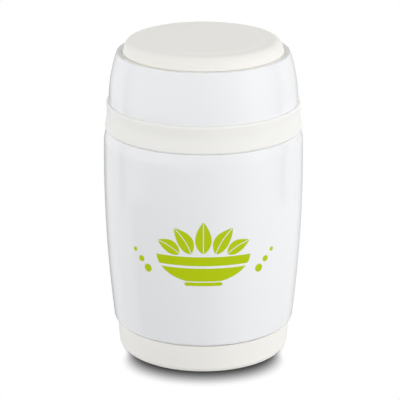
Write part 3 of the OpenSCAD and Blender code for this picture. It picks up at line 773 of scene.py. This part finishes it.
def make_liner():
    """Stainless food vessel, its mouth rolled over the neck, with the stopper's thread."""
    outline = [
        (0, LINER_FOOT_Z), (LINER_R, LINER_FOOT_Z, LINER_ROUND_R + STEEL), (LINER_R, LINER_WALL_Z, 4),
        (LINER_NECK_R, LINER_SLOPE_Z, 3), (LINER_NECK_R, NECK_TOP_Z), (NECK_R, NECK_TOP_Z),
        (NECK_R, MOUTH_Z, 0.28), (LINER_MOUTH_R, MOUTH_Z, 0.28), (LINER_MOUTH_R, LINER_SLOPE_Z, 3),
        (LINER_BORE_R, LINER_WALL_Z, 4), (LINER_BORE_R, LINER_FLOOR_Z, LINER_ROUND_R), (0, LINER_FLOOR_Z),
    ]
    shells = [turned(outline, 256), *thread(LINER_MOUTH_R, -STOPPER_THREAD_T, LINER_THREAD_Z)]
    piece("liner_steel", shells, steel, "jar", "liner")


# ---- stopper and valve


def make_stopper_body():
    """Moulded plug with its thread, the tube for the stem, and the seal under its flange."""
    soft_ring(
        "mouth_seal", milky, "stopper_ring", "stopper_seal", 192, (0.4, 0.4, 0.4, 0.4),
        PLUG_R + PART_GAP, SEAL_R, SEAL_LOW_Z, SEAL_TOP_Z,
    )
    bore = PLUG_R - STOPPER_T
    floor_z = PLUG_Z + STOPPER_T
    tube_r = STEM_R + STEM_PLAY
    tube_top_z = COVER_Z - STOPPER_T - PART_GAP
    tube_foot_z = floor_z + 0.6
    outline = [
        (tube_r, PLUG_Z, 0.2), (WASHER_R + 1, PLUG_Z, 0.2), (WASHER_R + 2, PLUG_Z + 0.5, 0.4),
        (PLUG_R - 6, PLUG_Z + 0.5, 0.4), (PLUG_R - 5, PLUG_Z, 0.4), (PLUG_R, PLUG_Z, 3),
        (PLUG_R, FLANGE_Z, 0.2), (FLANGE_R, FLANGE_Z, 0.4), (FLANGE_R, COVER_Z), (bore, COVER_Z),
        (bore, tube_foot_z, 3), (tube_r + 2, tube_foot_z, 0.4), (tube_r + 2, tube_top_z),
        (tube_r, tube_top_z, 0.2),
    ]
    shells = [turned(outline, 224), *thread(PLUG_R, STOPPER_THREAD_T, LINER_THREAD_Z - THREAD_OFFSET)]
    piece("plug", shells, grey_plastic, "stopper", "stopper_body")


def notched(radius, height, angle):
    """Cuts round notches into the grip's outer side: each is a power of a cosine's crest, and it fades out
    over 0.8 mm above the flange."""
    phase = np.cos(angle * GRIP_NOTCHES)
    scoop = np.clip((phase - 0.35) / 0.65, 0, 1) ** 0.6
    rise = np.clip((height - COVER_Z - 1.6) / 0.8, 0, 1)
    side = np.clip((radius - GRIP_R + 1.6) / 1.2, 0, 1)
    return radius - NOTCH_DEPTH * scoop * rise * side


def make_stopper_cover():
    """Cover with its notched grip, four ribs and the button's well."""
    spigot_r = PLUG_R - STOPPER_T - SEAL_GAP
    hole_r = STEM_R + 1
    grip_run = [(GRIP_R, z) for z in np.linspace(COVER_Z + 1.8, GRIP_Z - 2, 10)]
    outline = [
        (hole_r, COVER_LOW_Z, 0.2), (spigot_r, COVER_LOW_Z, 0.3), (spigot_r, COVER_Z), (FLANGE_R, COVER_Z),
        (FLANGE_R, COVER_Z + 0.8, 0.5), (GRIP_R, COVER_Z + 1.4, 0.4), *grip_run, (GRIP_R, GRIP_Z, 1.4),
        (GRIP_BORE_R, GRIP_Z, 1.4), (GRIP_BORE_R, COVER_FLOOR_Z, 1), (WELL_OUT_R, COVER_FLOOR_Z, 0.6),
        (WELL_OUT_R, WELL_TOP_Z, 0.8), (WELL_R, WELL_TOP_Z, 0.4), (WELL_R, COVER_Z, 0.3),
        (hole_r, COVER_Z, 0.2),
    ]
    shells = [turned(outline, GRIP_NOTCHES * 12, notched)]
    half, height, reach = RIB_W / 2, RIB_TOP_Z - COVER_FLOOR_Z, 0.3
    section = rounded([(-half, 0), (half, 0), (half - 0.2, height, 0.8), (0.2 - half, height, 0.8)])
    for turn in np.radians([45, 135, 225, 315]):
        out = np.array([math.cos(turn), math.sin(turn), 0])
        side = np.array([-math.sin(turn), math.cos(turn), 0])
        path = np.linspace(WELL_OUT_R - reach, GRIP_BORE_R + reach, 4)[:, None] * out
        path[:, 2] = COVER_FLOOR_Z - reach / 2
        shells.append(swept(path, side, section))
    piece("grip_cover", shells, grey_plastic, "stopper", "stopper_cover")


def make_valve():
    """Push button, its stem, the washer below the plug and the spring between them."""
    skirt_r = BUTTON_R - 1.6
    button = [
        (0, STEM_TOP_Z), (skirt_r, STEM_TOP_Z, 0.6), (skirt_r, BUTTON_SKIRT_Z, 0.2),
        (BUTTON_R, BUTTON_SKIRT_Z, 0.2), (BUTTON_R, BUTTON_TOP_Z - 0.4, 1.2),
        (BUTTON_R - 2.6, BUTTON_TOP_Z, 1.0), (BUTTON_R - 3.4, BUTTON_TOP_Z - 0.5, 2), (0, BUTTON_TOP_Z - 0.9),
    ]
    piece("push_button", [turned(button, 160)], lime_plastic, "valve", "valve_button")
    stem = [
        (0, STEM_LOW_Z), (STEM_HEAD_R, STEM_LOW_Z, 0.6), (STEM_HEAD_R, WASHER_LOW_Z, 0.2),
        (STEM_R, WASHER_LOW_Z), (STEM_R, STEM_TOP_Z, 0.1), (0, STEM_TOP_Z),
    ]
    piece("valve_rod", [turned(stem, 96)], natural_plastic, "valve", "valve_stem")
    soft_ring(
        "vent_washer", milky, "valve", "valve_washer", 96, (0, 0.3, 0.3, 0),
        STEM_R + STEM_PLAY, WASHER_R, WASHER_LOW_Z, WASHER_TOP_Z,
    )
    turn = np.linspace(0, SPRING_TURNS * 2 * math.pi, int(SPRING_TURNS * SPRING_STEPS) + 1)
    height = np.linspace(SPRING_LOW_Z + SPRING_WIRE_R, SPRING_TOP_Z - SPRING_WIRE_R, len(turn))
    path, out = helix(SPRING_R - SPRING_WIRE_R, turn, height)
    wire = once_round(12)
    spring = swept(path, out, SPRING_WIRE_R * np.stack([np.cos(wire), np.sin(wire)], 1))
    coil = piece("coil_spring", [spring], bright_wire, "stopper", "valve_spring")
    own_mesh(coil)


# ---- lid


def make_lid_bowl():
    """Gasket, and the cream lid moulding: the band with its bead, hollow waist and lip, and the screwed
    bowl inside."""
    soft_ring(
        "foot_gasket", milky, "lid_ring", "lid_gasket", 224, (0.5, 0.5, 0, 0),
        GASKET_R - GASKET_W, GASKET_R, GASKET_LOW_Z, GASKET_TOP_Z,
    )
    seat_out, seat_in = SLEEVE_R + 0.01, SLEEVE_R - STEEL - SLEEVE_PLAY
    foot_z = SHOULDER_Z + FOOT_PLAY
    gasket_in, gasket_out = GASKET_R - GASKET_W - SEAL_GAP, GASKET_R + SEAL_GAP
    groove_z = GASKET_TOP_Z + SEAL_GAP
    outline = [
        (LID_BORE_R, foot_z, 0.4), (gasket_in, foot_z, 0.15), (gasket_in, groove_z), (gasket_out, groove_z),
        (gasket_out, foot_z, 0.15), (BEAD_R - 0.6, foot_z, 0.3), (BEAD_R, foot_z + 0.8, 0.8),
        (WAIST_R, LID_FOOT_Z + BAND_H * 0.5, 16), (LIP_R, SEAT_Z - 1.1, 1.5),
        (LIP_R - 0.5, SEAT_Z - 0.1, 0.5), (seat_out, SEAT_Z, 0.05),
        (seat_out, SLEEVE_FOOT_Z - PART_GAP), (seat_in, SLEEVE_FOOT_Z - PART_GAP), (seat_in, BAND_TOP_Z, 0.1),
        (BOWL_OUT_R, BAND_TOP_Z + 3.6, 2), (BOWL_OUT_R, ROOF_TOP_Z, 4), (0, ROOF_TOP_Z), (0, ROOF_Z),
        (BOWL_R, ROOF_Z, 3), (BOWL_R, MOUTH_Z + 4, 4), (LID_BORE_R, MOUTH_Z + 1, 4),
    ]
    # The outline starts on the axis, so that its poles close
    start = outline.index((0, ROOF_Z))
    outline = outline[start:] + outline[:start]
    shells = [turned(outline, 320, step=5), *thread(LID_BORE_R, -LID_THREAD_T, NECK_THREAD_Z - THREAD_OFFSET)]
    piece("band_and_bowl", shells, pale_cream, "lid", "lid_bowl")


def make_spoon_tray():
    """Cream tray for the spoon, with the ledge that carries the cap."""
    inner = TRAY_R - TRAY_T
    wall = inner - TRAY_STEP_W
    outline = [
        (0, TRAY_LOW_Z), (wall + TRAY_T, TRAY_LOW_Z, 2), (wall + TRAY_T, TRAY_STEP_Z - TRAY_T, 0.6),
        (TRAY_R, TRAY_STEP_Z - TRAY_T, 1), (TRAY_R, TRAY_TOP_Z, 0.2), (inner, TRAY_TOP_Z, 0.2),
        (inner, TRAY_STEP_Z, 0.3), (wall, TRAY_STEP_Z, 0.4), (wall, TRAY_Z, 1.5), (0, TRAY_Z),
    ]
    piece("tray", [turned(outline, 256)], cream, "lid", "spoon_tray")


def make_lid_sleeve():
    """Lacquered sleeve round the lid, turned in at its rim."""
    side_top = RIM_Z - 1.2
    rim_out = sleeve_side(RIM_Z)
    outline = [
        *run(sleeve_side, SLEEVE_FOOT_Z, side_top, 0, 30), (rim_out, RIM_Z, 0.9), (RIM_BORE_R, RIM_Z, 0.2),
        (RIM_BORE_R, RIM_Z - STEEL, 0.28), (rim_out - STEEL, RIM_Z - STEEL, 0.3),
        *run(sleeve_side, side_top, SLEEVE_FOOT_Z, STEEL, 30),
    ]
    piece("sleeve", [turned(outline, 320, step=5)], lacquer, "lid", "lid_sleeve")


# ---- cap and spoon


def cap_crown(inset):
    """The cap's section from its wall to its middle, set inwards: a quarter of an ellipse rounds the edge,
    a narrow flat follows, and half a wave of a cosine rises to the low disc."""
    turn = np.linspace(0, math.pi / 2, 24)
    flat_z = CAP_TOP_Z - CAP_CROWN - inset
    wide, tall = CAP_R - CAP_LEAN - inset - CAP_ROUND_R, flat_z - CAP_WALL_Z
    edge = zip(CAP_ROUND_R + wide * np.cos(turn), CAP_WALL_Z + tall * np.sin(turn))
    share = np.linspace(0, 1, 12)
    wave = CAP_CROWN * (1 - np.cos(math.pi * share)) / 2
    rise = zip(CAP_FLAT_R + (CAP_DISC_R - CAP_FLAT_R) * share, flat_z + wave)
    return [*edge, *rise, (0, CAP_TOP_Z - inset)]


def make_cap():
    """Cream cap: a side that leans in above the rim, a soft round edge, a low raised disc, and the groove
    with its ring."""
    bore = CAP_R - CAP_T
    low, high = CAP_SEAL_LOW_Z - SEAL_GAP, RIM_Z + SEAL_GAP
    outline = [
        *cap_crown(CAP_T)[::-1], (bore, RIM_Z, 0.4), (bore, CAP_FOOT_Z, 0.3), (CAP_R, CAP_FOOT_Z, 0.4),
        (CAP_R, low, 0.15), (CAP_GROOVE_R, low), (CAP_GROOVE_R, high), (CAP_R, high, 0.1),
        (CAP_R, RIM_Z + 0.3, 0.3), *cap_crown(0),
    ]
    piece("cap_cream", [turned(outline, 320, step=4)], cream, "cap", "cap")
    soft_ring(
        "cap_ring", beige, "cap", "cap_seal", 256, (0.4, 0.7, 0.15, 0.2),
        CAP_GROOVE_R + SEAL_GAP, CAP_SEAL_R, CAP_SEAL_LOW_Z, RIM_Z,
    )


def make_spoon_bowl():
    """Egg-shaped bowl, edge down, drawn as one section whose rings grow from the crown to the lip and shrink
    back under it, and the neck that joins it to the hinge's knuckle."""
    low, high = (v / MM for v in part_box("spoon_bowl"))
    foot_z, crown_z = low.z, high.z
    half_l = (high.x + HINGE_X - SPOON_NECK_L) / 2
    middle_x = high.x - half_l
    half_w = (high.y - low.y) / 2
    edge_z = foot_z + SPOON_LIP
    grow = np.sin(np.linspace(0.03, math.pi / 2, 30))
    dome = (1 - grow**2) ** 0.75
    lip = np.linspace(0, math.pi, 7)
    lip_r = SPOON_T / 2
    outside = grow * half_l, edge_z + (crown_z - edge_z) * dome
    edge = half_l - lip_r + lip_r * np.cos(lip), foot_z + 0.3 - 0.3 * np.sin(lip)
    inside = (grow * (half_l - SPOON_T))[::-1], (edge_z + (crown_z - SPOON_T - edge_z) * dome)[::-1]
    reach, height = (np.concatenate(parts)[:, None] for parts in zip(outside, edge, inside))
    angle = once_round(96)[None, :]
    across = reach * np.sin(angle) * (1 - EGG * np.cos(angle)) * half_w / half_l / EGG_WIDEST
    rings = np.stack([middle_x + reach * np.cos(angle), across, height + 0 * angle], -1)
    neck_l = SPOON_NECK_L + 3.2
    shells = [
        skin(rings, ends=[(middle_x, 0, crown_z), (middle_x, 0, crown_z - SPOON_T)]),
        block((-HINGE_X, -KNUCKLE_W / 2, foot_z), (-HINGE_X + neck_l, KNUCKLE_W / 2, foot_z + 2), 0.5),
        rod(KNUCKLE_R, -KNUCKLE_W / 2, KNUCKLE_W / 2),
    ]
    piece("spoon_head_cream", shells, cream, "spoon_head", "spoon_bowl")


def make_spoon_handle():
    """Handle with a long recess in its top, cranked down to two ears at the hinge. Its outline is drawn
    once for each (inset, height) of its edge."""
    low, high = (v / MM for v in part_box("spoon_handle"))
    top, under = high.z, high.z - HANDLE_T
    start, end = low.x, high.x
    slot_w = KNUCKLE_W + 2 * PART_GAP
    edge = [
        (0.6, under), (0.17, under + 0.17), (0, under + 0.6), (0, top - 0.6), (0.17, top - 0.17), (0.6, top),
        (HANDLE_RECESS - 0.3, top), (HANDLE_RECESS, top - 0.2), (HANDLE_RECESS + 0.1, top - 0.6),
        (HANDLE_RECESS + 0.4, top - 0.8),
    ]
    rings = []
    for inset, z in edge:
        radii = [max(0.02, r - inset) for r in (HANDLE_W / 4, HANDLE_W / 2.1)]
        line = strip_line(start + inset, end - inset, HANDLE_W - 2 * inset, radii, 12)
        rings.append(np.concatenate([line, np.full((len(line), 1), z)], 1))
    shells = [skin(rings)]
    half_w = HANDLE_W / 2
    ear_x, ear_z = start + 2 * KNUCKLE_R, top - EAR_TOP
    for side in (-1, 1):
        near, far = sorted((side * slot_w / 2, side * half_w))
        shells.append(rod(KNUCKLE_R, near, far))
        shells.append(block((start, near, PIN_Z), (ear_x, far, ear_z), 0.35, axis=1))
    bridge_z = PIN_Z + KNUCKLE_R + PART_GAP
    shells.append(block((start, 0.4 - half_w, bridge_z), (ear_x, half_w - 0.4, ear_z), 0.3, axis=1))
    piece("spoon_handle_cream", shells, cream, "spoon", "spoon_handle")
    piece("hinge_pin", [rod(PIN_R, -half_w, half_w, 0.25)], steel, "spoon", "spoon_pin")


# ---- print on the barrel

PRINT_Z = 53.0  # height of the print's foot
PRINT_MIDDLE = 16  # height in the print at which its widths are true
PRINT_BOWL_W = 25  # half width of its bowl
PRINT_BOWL_H = 14.5
INK_T = 0.04  # how far the ink stands out of the lacquer
INK_DEPTH = 0.03  # how far it goes into it
VEIN_W = 0.45


def film(across, up):
    """A closed film of ink from a grid of places on the unrolled barrel: the grid is laid on the side at
    the ink's thickness, and again just inside the lacquer, and a strip joins the two round the edge."""
    z = PRINT_Z + up
    turn = across / barrel_side(PRINT_Z + PRINT_MIDDLE)
    layers = []
    for lift in (INK_T, -INK_DEPTH):
        radius = barrel_side(z) + lift
        layers.append(np.stack([radius * np.sin(turn), -radius * np.cos(turn), z], -1))
    rows, cols = across.shape
    index = np.arange(rows * cols).reshape(rows, cols)
    a, b, c, d = index[:-1, :-1], index[1:, :-1], index[1:, 1:], index[:-1, 1:]
    top = np.stack([a, b, c, d], -1).reshape(-1, 4)
    under = top[:, ::-1] + rows * cols
    edge = np.concatenate([index[0, :-1], index[:-1, -1], index[-1, :0:-1], index[:0:-1, 0]])
    following = np.roll(edge, -1)
    wall = np.stack([edge, following, following + rows * cols, edge + rows * cols], -1)
    points = np.concatenate([layer.reshape(-1, 3) for layer in layers])
    return outward(points, np.concatenate([top, under, wall]).tolist())


def disc(across, up, radius):
    """A round dot: a square grid whose rows bulge to a circle."""
    u, v = np.meshgrid(np.linspace(-1, 1, 15), np.linspace(-1, 1, 15))
    return film(across + radius * u * np.sqrt(1 - v * v / 2), up + radius * v * np.sqrt(1 - u * u / 2))


def leaf(foot, tip, width, bend):
    """A leaf from its foot to its tip in two halves, with a bare vein between them. Its half width follows
    sin(pi * t^0.8)^0.85, and its middle line bends sideways by a share of its length."""
    foot, tip = np.array(foot, float), np.array(tip, float)
    along = tip - foot
    side = np.array([-along[1], along[0]])
    t = np.linspace(0, 1, 33)[:, None]
    middle = foot + along * t + side * bend * np.sin(math.pi * t)
    half = width / 2 * np.sin(math.pi * t**0.8) ** 0.85
    across = side / np.linalg.norm(side)
    halves = []
    for sign in (-1, 1):
        inner = np.minimum(VEIN_W / 2, half * 0.5)
        u = np.linspace(0, 1, 9)[None, :]
        offset = sign * (inner + (half - inner) * u)
        place = middle[:, None, :] + offset[..., None] * across
        halves.append(film(place[..., 0], place[..., 1]))
    return halves


def bar(start, end, low, high):
    """A bar with round ends: its columns shorten as a half circle over the last half of its height."""
    half = (high - low) / 2
    u, v = np.meshgrid(np.linspace(0, 1, 41), np.linspace(-1, 1, 9))
    left = start + half * (1 - np.sqrt(1 - v * v))
    right = end - half * (1 - np.sqrt(1 - v * v))
    return film(left + (right - left) * u, (low + high) / 2 + half * v)


def bowl_band(low, high):
    """A band of the bowl between two heights: its half width follows the ellipse of the bowl's side."""
    u, v = np.meshgrid(np.linspace(-1, 1, 61), np.linspace(0, 1, 13))
    up = low + (high - low) * v
    half = PRINT_BOWL_W * np.sqrt(np.clip(1 - (1 - up / PRINT_BOWL_H) ** 2, 0.0, 1))
    return film(half * u, up)


def make_print():
    """Lime print: a bowl with a bare stripe, leaves fanned out over it, and dots to both sides."""
    shells = [bowl_band(1.0, 8.2), bowl_band(9.6, PRINT_BOWL_H), bar(-10, 10, -1.6, 0.4)]
    # Leaves as (degrees from upright, foot's distance from the middle, length, width, bend)
    fan = [
        (0, 0, 17.5, 8.4, 0), (33, 6.2, 16.5, 8, 0.06), (62, 12.4, 13.5, 7, 0.06),
        (-33, -6.2, 16.5, 8, -0.06), (-62, -12.4, 13.5, 7, -0.06),
    ]
    for angle, foot_x, length, width, bend in fan:
        turn = math.radians(angle)
        out = np.array([math.sin(turn), math.cos(turn)])
        foot = np.array([foot_x, PRINT_BOWL_H + 1.3 + 0.4 * out[1]])
        shells += leaf(foot, foot + out * length, width, bend)
    # Dots as (distance from the middle, height, radius)
    dots = [(30.5, 5.5, 2.2), (34.5, 9.9, 1.7), (38.5, 14.3, 1.2)]
    shells += [disc(side * across, up, radius) for side in (-1, 1) for across, up, radius in dots]
    piece("jar_print", shells, lime_ink, "jar")


# ---- studio


def finish_inner_nodes():
    """Inner CAD nodes whose shape is right keep their mesh and get their finish."""
    finishes = {
        "outer_bottom": steel, "port_bead": fused_glass, "getter": sintered, "heat_foil": foil,
        "stopper_foam": foam,
    }
    for node, finish in finishes.items():
        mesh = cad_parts[node].data
        mesh.materials.clear()
        mesh.materials.append(finish)


# Painted soft shadow on the floor, in front of the jar's foot: half its width and depth and its centre's
# distance are in metres, and its blurs are shares of them
SHADOW_X = 0.0368
SHADOW_Y = 0.0281
SHADOW_FRONT = 0.0171
SHADOW_BLUR_X = 0.17
SHADOW_BLUR_Y = 0.647
FLOOR_HALF = 2.0
FLOOR_GREY = 0.2
FLOOR_GLOW = 0.37


def painted_contact_shadow(g):
    """Level of a shadow painted on the floor: across the soft ellipse's edge it is the cube of a smooth step
    over one blur to each side, where the blur depends on the direction from the centre. The seam under the
    foot is painted dark."""
    x, y, _ = g.split(g.where())
    x, y = x / SHADOW_X, (y + SHADOW_FRONT) / SHADOW_Y
    radius = (x * x + y * y) ** 0.5
    blur = ((x * SHADOW_BLUR_X) ** 2 + (y * SHADOW_BLUR_Y) ** 2) ** 0.5 / radius
    soft = g.step((radius - 1) / blur, -1.0, 1.0) ** 3
    open_sky = g.add("AmbientOcclusion", {"Distance": 0.005}, {"samples": 8}, out="AO")
    seam = g.step(open_sky, 0.02, 0.3)
    return soft.maths("MINIMUM", soft, seam)


def make_floor():
    """White floor. To the camera it is white with a painted contact shadow, and clear from below. For the
    rest it glows a little and reflects what falls on it."""
    made = bpy.data.materials.new("studio_floor")
    g = Graph(made)
    # To the camera the floor's glow is darkened by the painted shadow
    seen = g.add("Emission", {"Strength": painted_contact_shadow(g)})
    under = g.add("NewGeometry", out="Backfacing")
    seen = g.add("MixShader", {0: under, 1: seen, 2: g.add("BsdfTransparent")})
    glow = g.add("Emission", {"Strength": FLOOR_GLOW})
    glow = g.add("AddShader", {0: g.add("BsdfDiffuse", {"Color": grey(FLOOR_GREY)}), 1: glow})
    camera = g.add("LightPath", out="Is Camera Ray")
    g.add("OutputMaterial", {"Surface": g.add("MixShader", {0: camera, 1: glow, 2: seen})})
    mesh = bpy.data.meshes.new("studio_floor")
    corners = [(x * FLOOR_HALF, y * FLOOR_HALF, 0) for x, y in ((-1, -1), (1, -1), (1, 1), (-1, 1))]
    mesh.from_pydata(corners, [], [(0, 1, 2, 3)])
    mesh.materials.append(made)
    floor = placed("studio_floor", mesh)
    floor.visible_glossy = False


# Studio panels mirrored in glossy surfaces, as (degrees round from the front towards +X, level):
# round the horizon, over the table, and on the table
HIGH_PANELS = [
    (-180, 0.4), (-158, 0.62), (-145, 1.0), (-128, 1.2), (-115.5, 1.42), (-111.5, 0.92), (-103, 1.02),
    (-92, 1.52), (-86, 1.55), (-64, 1.45), (-52, 1.42), (-40, 1.28), (-22, 1.12), (0, 0.88), (8, 1.08),
    (33, 1.2), (46, 1.45), (54, 1.8), (62, 2.0), (70, 1.88), (80, 1.4), (88, 1.1), (95, 0.95), (98, 0.4),
    (108, 0.3), (111, 0.75), (125, 0.78), (146, 0.7), (158, 0.6), (180, 0.4),
]
MIDDLE_PANELS = [
    (-180, 0.32), (-158, 0.4), (-150, 0.62), (-147, 0.95), (-130, 1.0), (-115.5, 1.2), (-112, 0.5),
    (-105, 0.45), (-99, 0.85), (-86, 1.08), (-76, 0.94), (-66, 0.55), (-48, 0.42), (-36, 0.48), (-24, 0.6),
    (0, 0.64), (9, 0.88), (22, 1.0), (34, 1.36), (50, 1.58), (68, 1.72), (77, 1.62), (90, 1.15), (97, 1.05),
    (100, 0.42), (108, 0.42), (111, 1.05), (130, 0.9), (145, 0.85), (158, 0.6), (180, 0.4),
]
LOW_PANELS = [
    (-180, 0.3), (-160, 0.38), (-149, 0.78), (-136, 1.02), (-115, 1.0), (-98, 1.0), (-94, 0.8), (-88, 0.34),
    (-62, 0.22), (-36, 0.28), (-20, 0.44), (0, 0.46), (9, 0.74), (19, 1.06), (25, 1.4), (42, 1.54),
    (57, 1.88), (68, 1.78), (84, 1.52), (96, 1.48), (110, 1.2), (125, 1.05), (140, 0.95), (152, 0.68),
    (180, 0.4),
]
PANEL_MAX = 2.0  # level at which a panel is brightest
# Soft light on matt surfaces: its level, what it gains to the right and to the left, and what it loses
# towards the top
SKY = 1.65
SKY_RIGHT = 0.65
SKY_LEFT = 0.24
SKY_TOP = 1.48
LENS = 186.55
CAMERA_SHIFT = -0.0086
CAMERA_PLACE = (0, -1.0429, 0.4374)
CAMERA_TILT = 71.12  # degrees up from straight down


def panels(g, turn, levels):
    """Level of the studio's panels at a turn round Z, in degrees: straight lines between the given levels.
    A ramp holds 32 stops and levels up to 1, so it holds shares of the brightest level."""
    stops = [(degrees / 360 + 0.5, level / PANEL_MAX) for degrees, level in levels]
    return g.add("ValToRGB", {0: turn / 360 + 0.5}, stops=stops)


def make_world():
    """Soft light from all round, brighter at the right and at the horizon. The camera sees white, and
    glossy surfaces mirror a studio of soft panels."""
    world = bpy.data.worlds.new("studio")
    bpy.context.scene.world = world
    g = Graph(world)
    x, y, z = g.split(g.add("TexCoord", out="Generated"))
    turn = x.maths("ARCTAN2", x, y * -1.0) * math.degrees(1)
    high, middle, low = (panels(g, turn, levels) for levels in (HIGH_PANELS, MIDDLE_PANELS, LOW_PANELS))
    seen = g.mix(g.step(z, -0.35, -0.32), low, middle)
    seen = g.mix(g.step(z, -0.26, -0.2), seen, high)
    seen = g.mix(g.step(z, 0.42, 0.75), seen, grey(1.0))
    sides = g.step(x, 0.0, 0.95) * SKY_RIGHT + g.step(x * -1.0, 0.2, 1.0) * SKY_LEFT
    diffuse = SKY + sides - z.maths("MAXIMUM", z, 0.0) * SKY_TOP
    glossy = g.add("LightPath", out="Is Glossy Ray")
    camera = g.add("LightPath", out="Is Camera Ray")
    strength = glossy * PANEL_MAX + (1 - glossy) * diffuse
    strength = camera + (1 - camera) * strength
    colour = g.mix(glossy, grey(1.0), seen)
    light = g.add("Background", {"Color": colour, "Strength": strength})
    g.add("OutputWorld", {"Surface": light})


def make_camera():
    """The camera: a long lens, a little above the jar and looking down on it."""
    data = bpy.data.cameras.new("camera")
    data.sensor_width = 36
    data.lens = LENS
    data.shift_x = CAMERA_SHIFT
    data.clip_end = 20
    camera = placed("camera", data)
    camera.location = CAMERA_PLACE
    camera.rotation_euler = (math.radians(CAMERA_TILT), 0, 0)
    bpy.context.scene.camera = camera
    bpy.context.scene.view_settings.view_transform = "Standard"


make_camera()
make_world()
make_floor()
make_outer_shell()
make_base_cup()
make_foot_pad()
make_liner()
make_stopper_body()
make_stopper_cover()
make_valve()
make_lid_bowl()
make_spoon_tray()
make_lid_sleeve()
make_cap()
make_spoon_bowl()
make_spoon_handle()
make_print()
finish_inner_nodes()
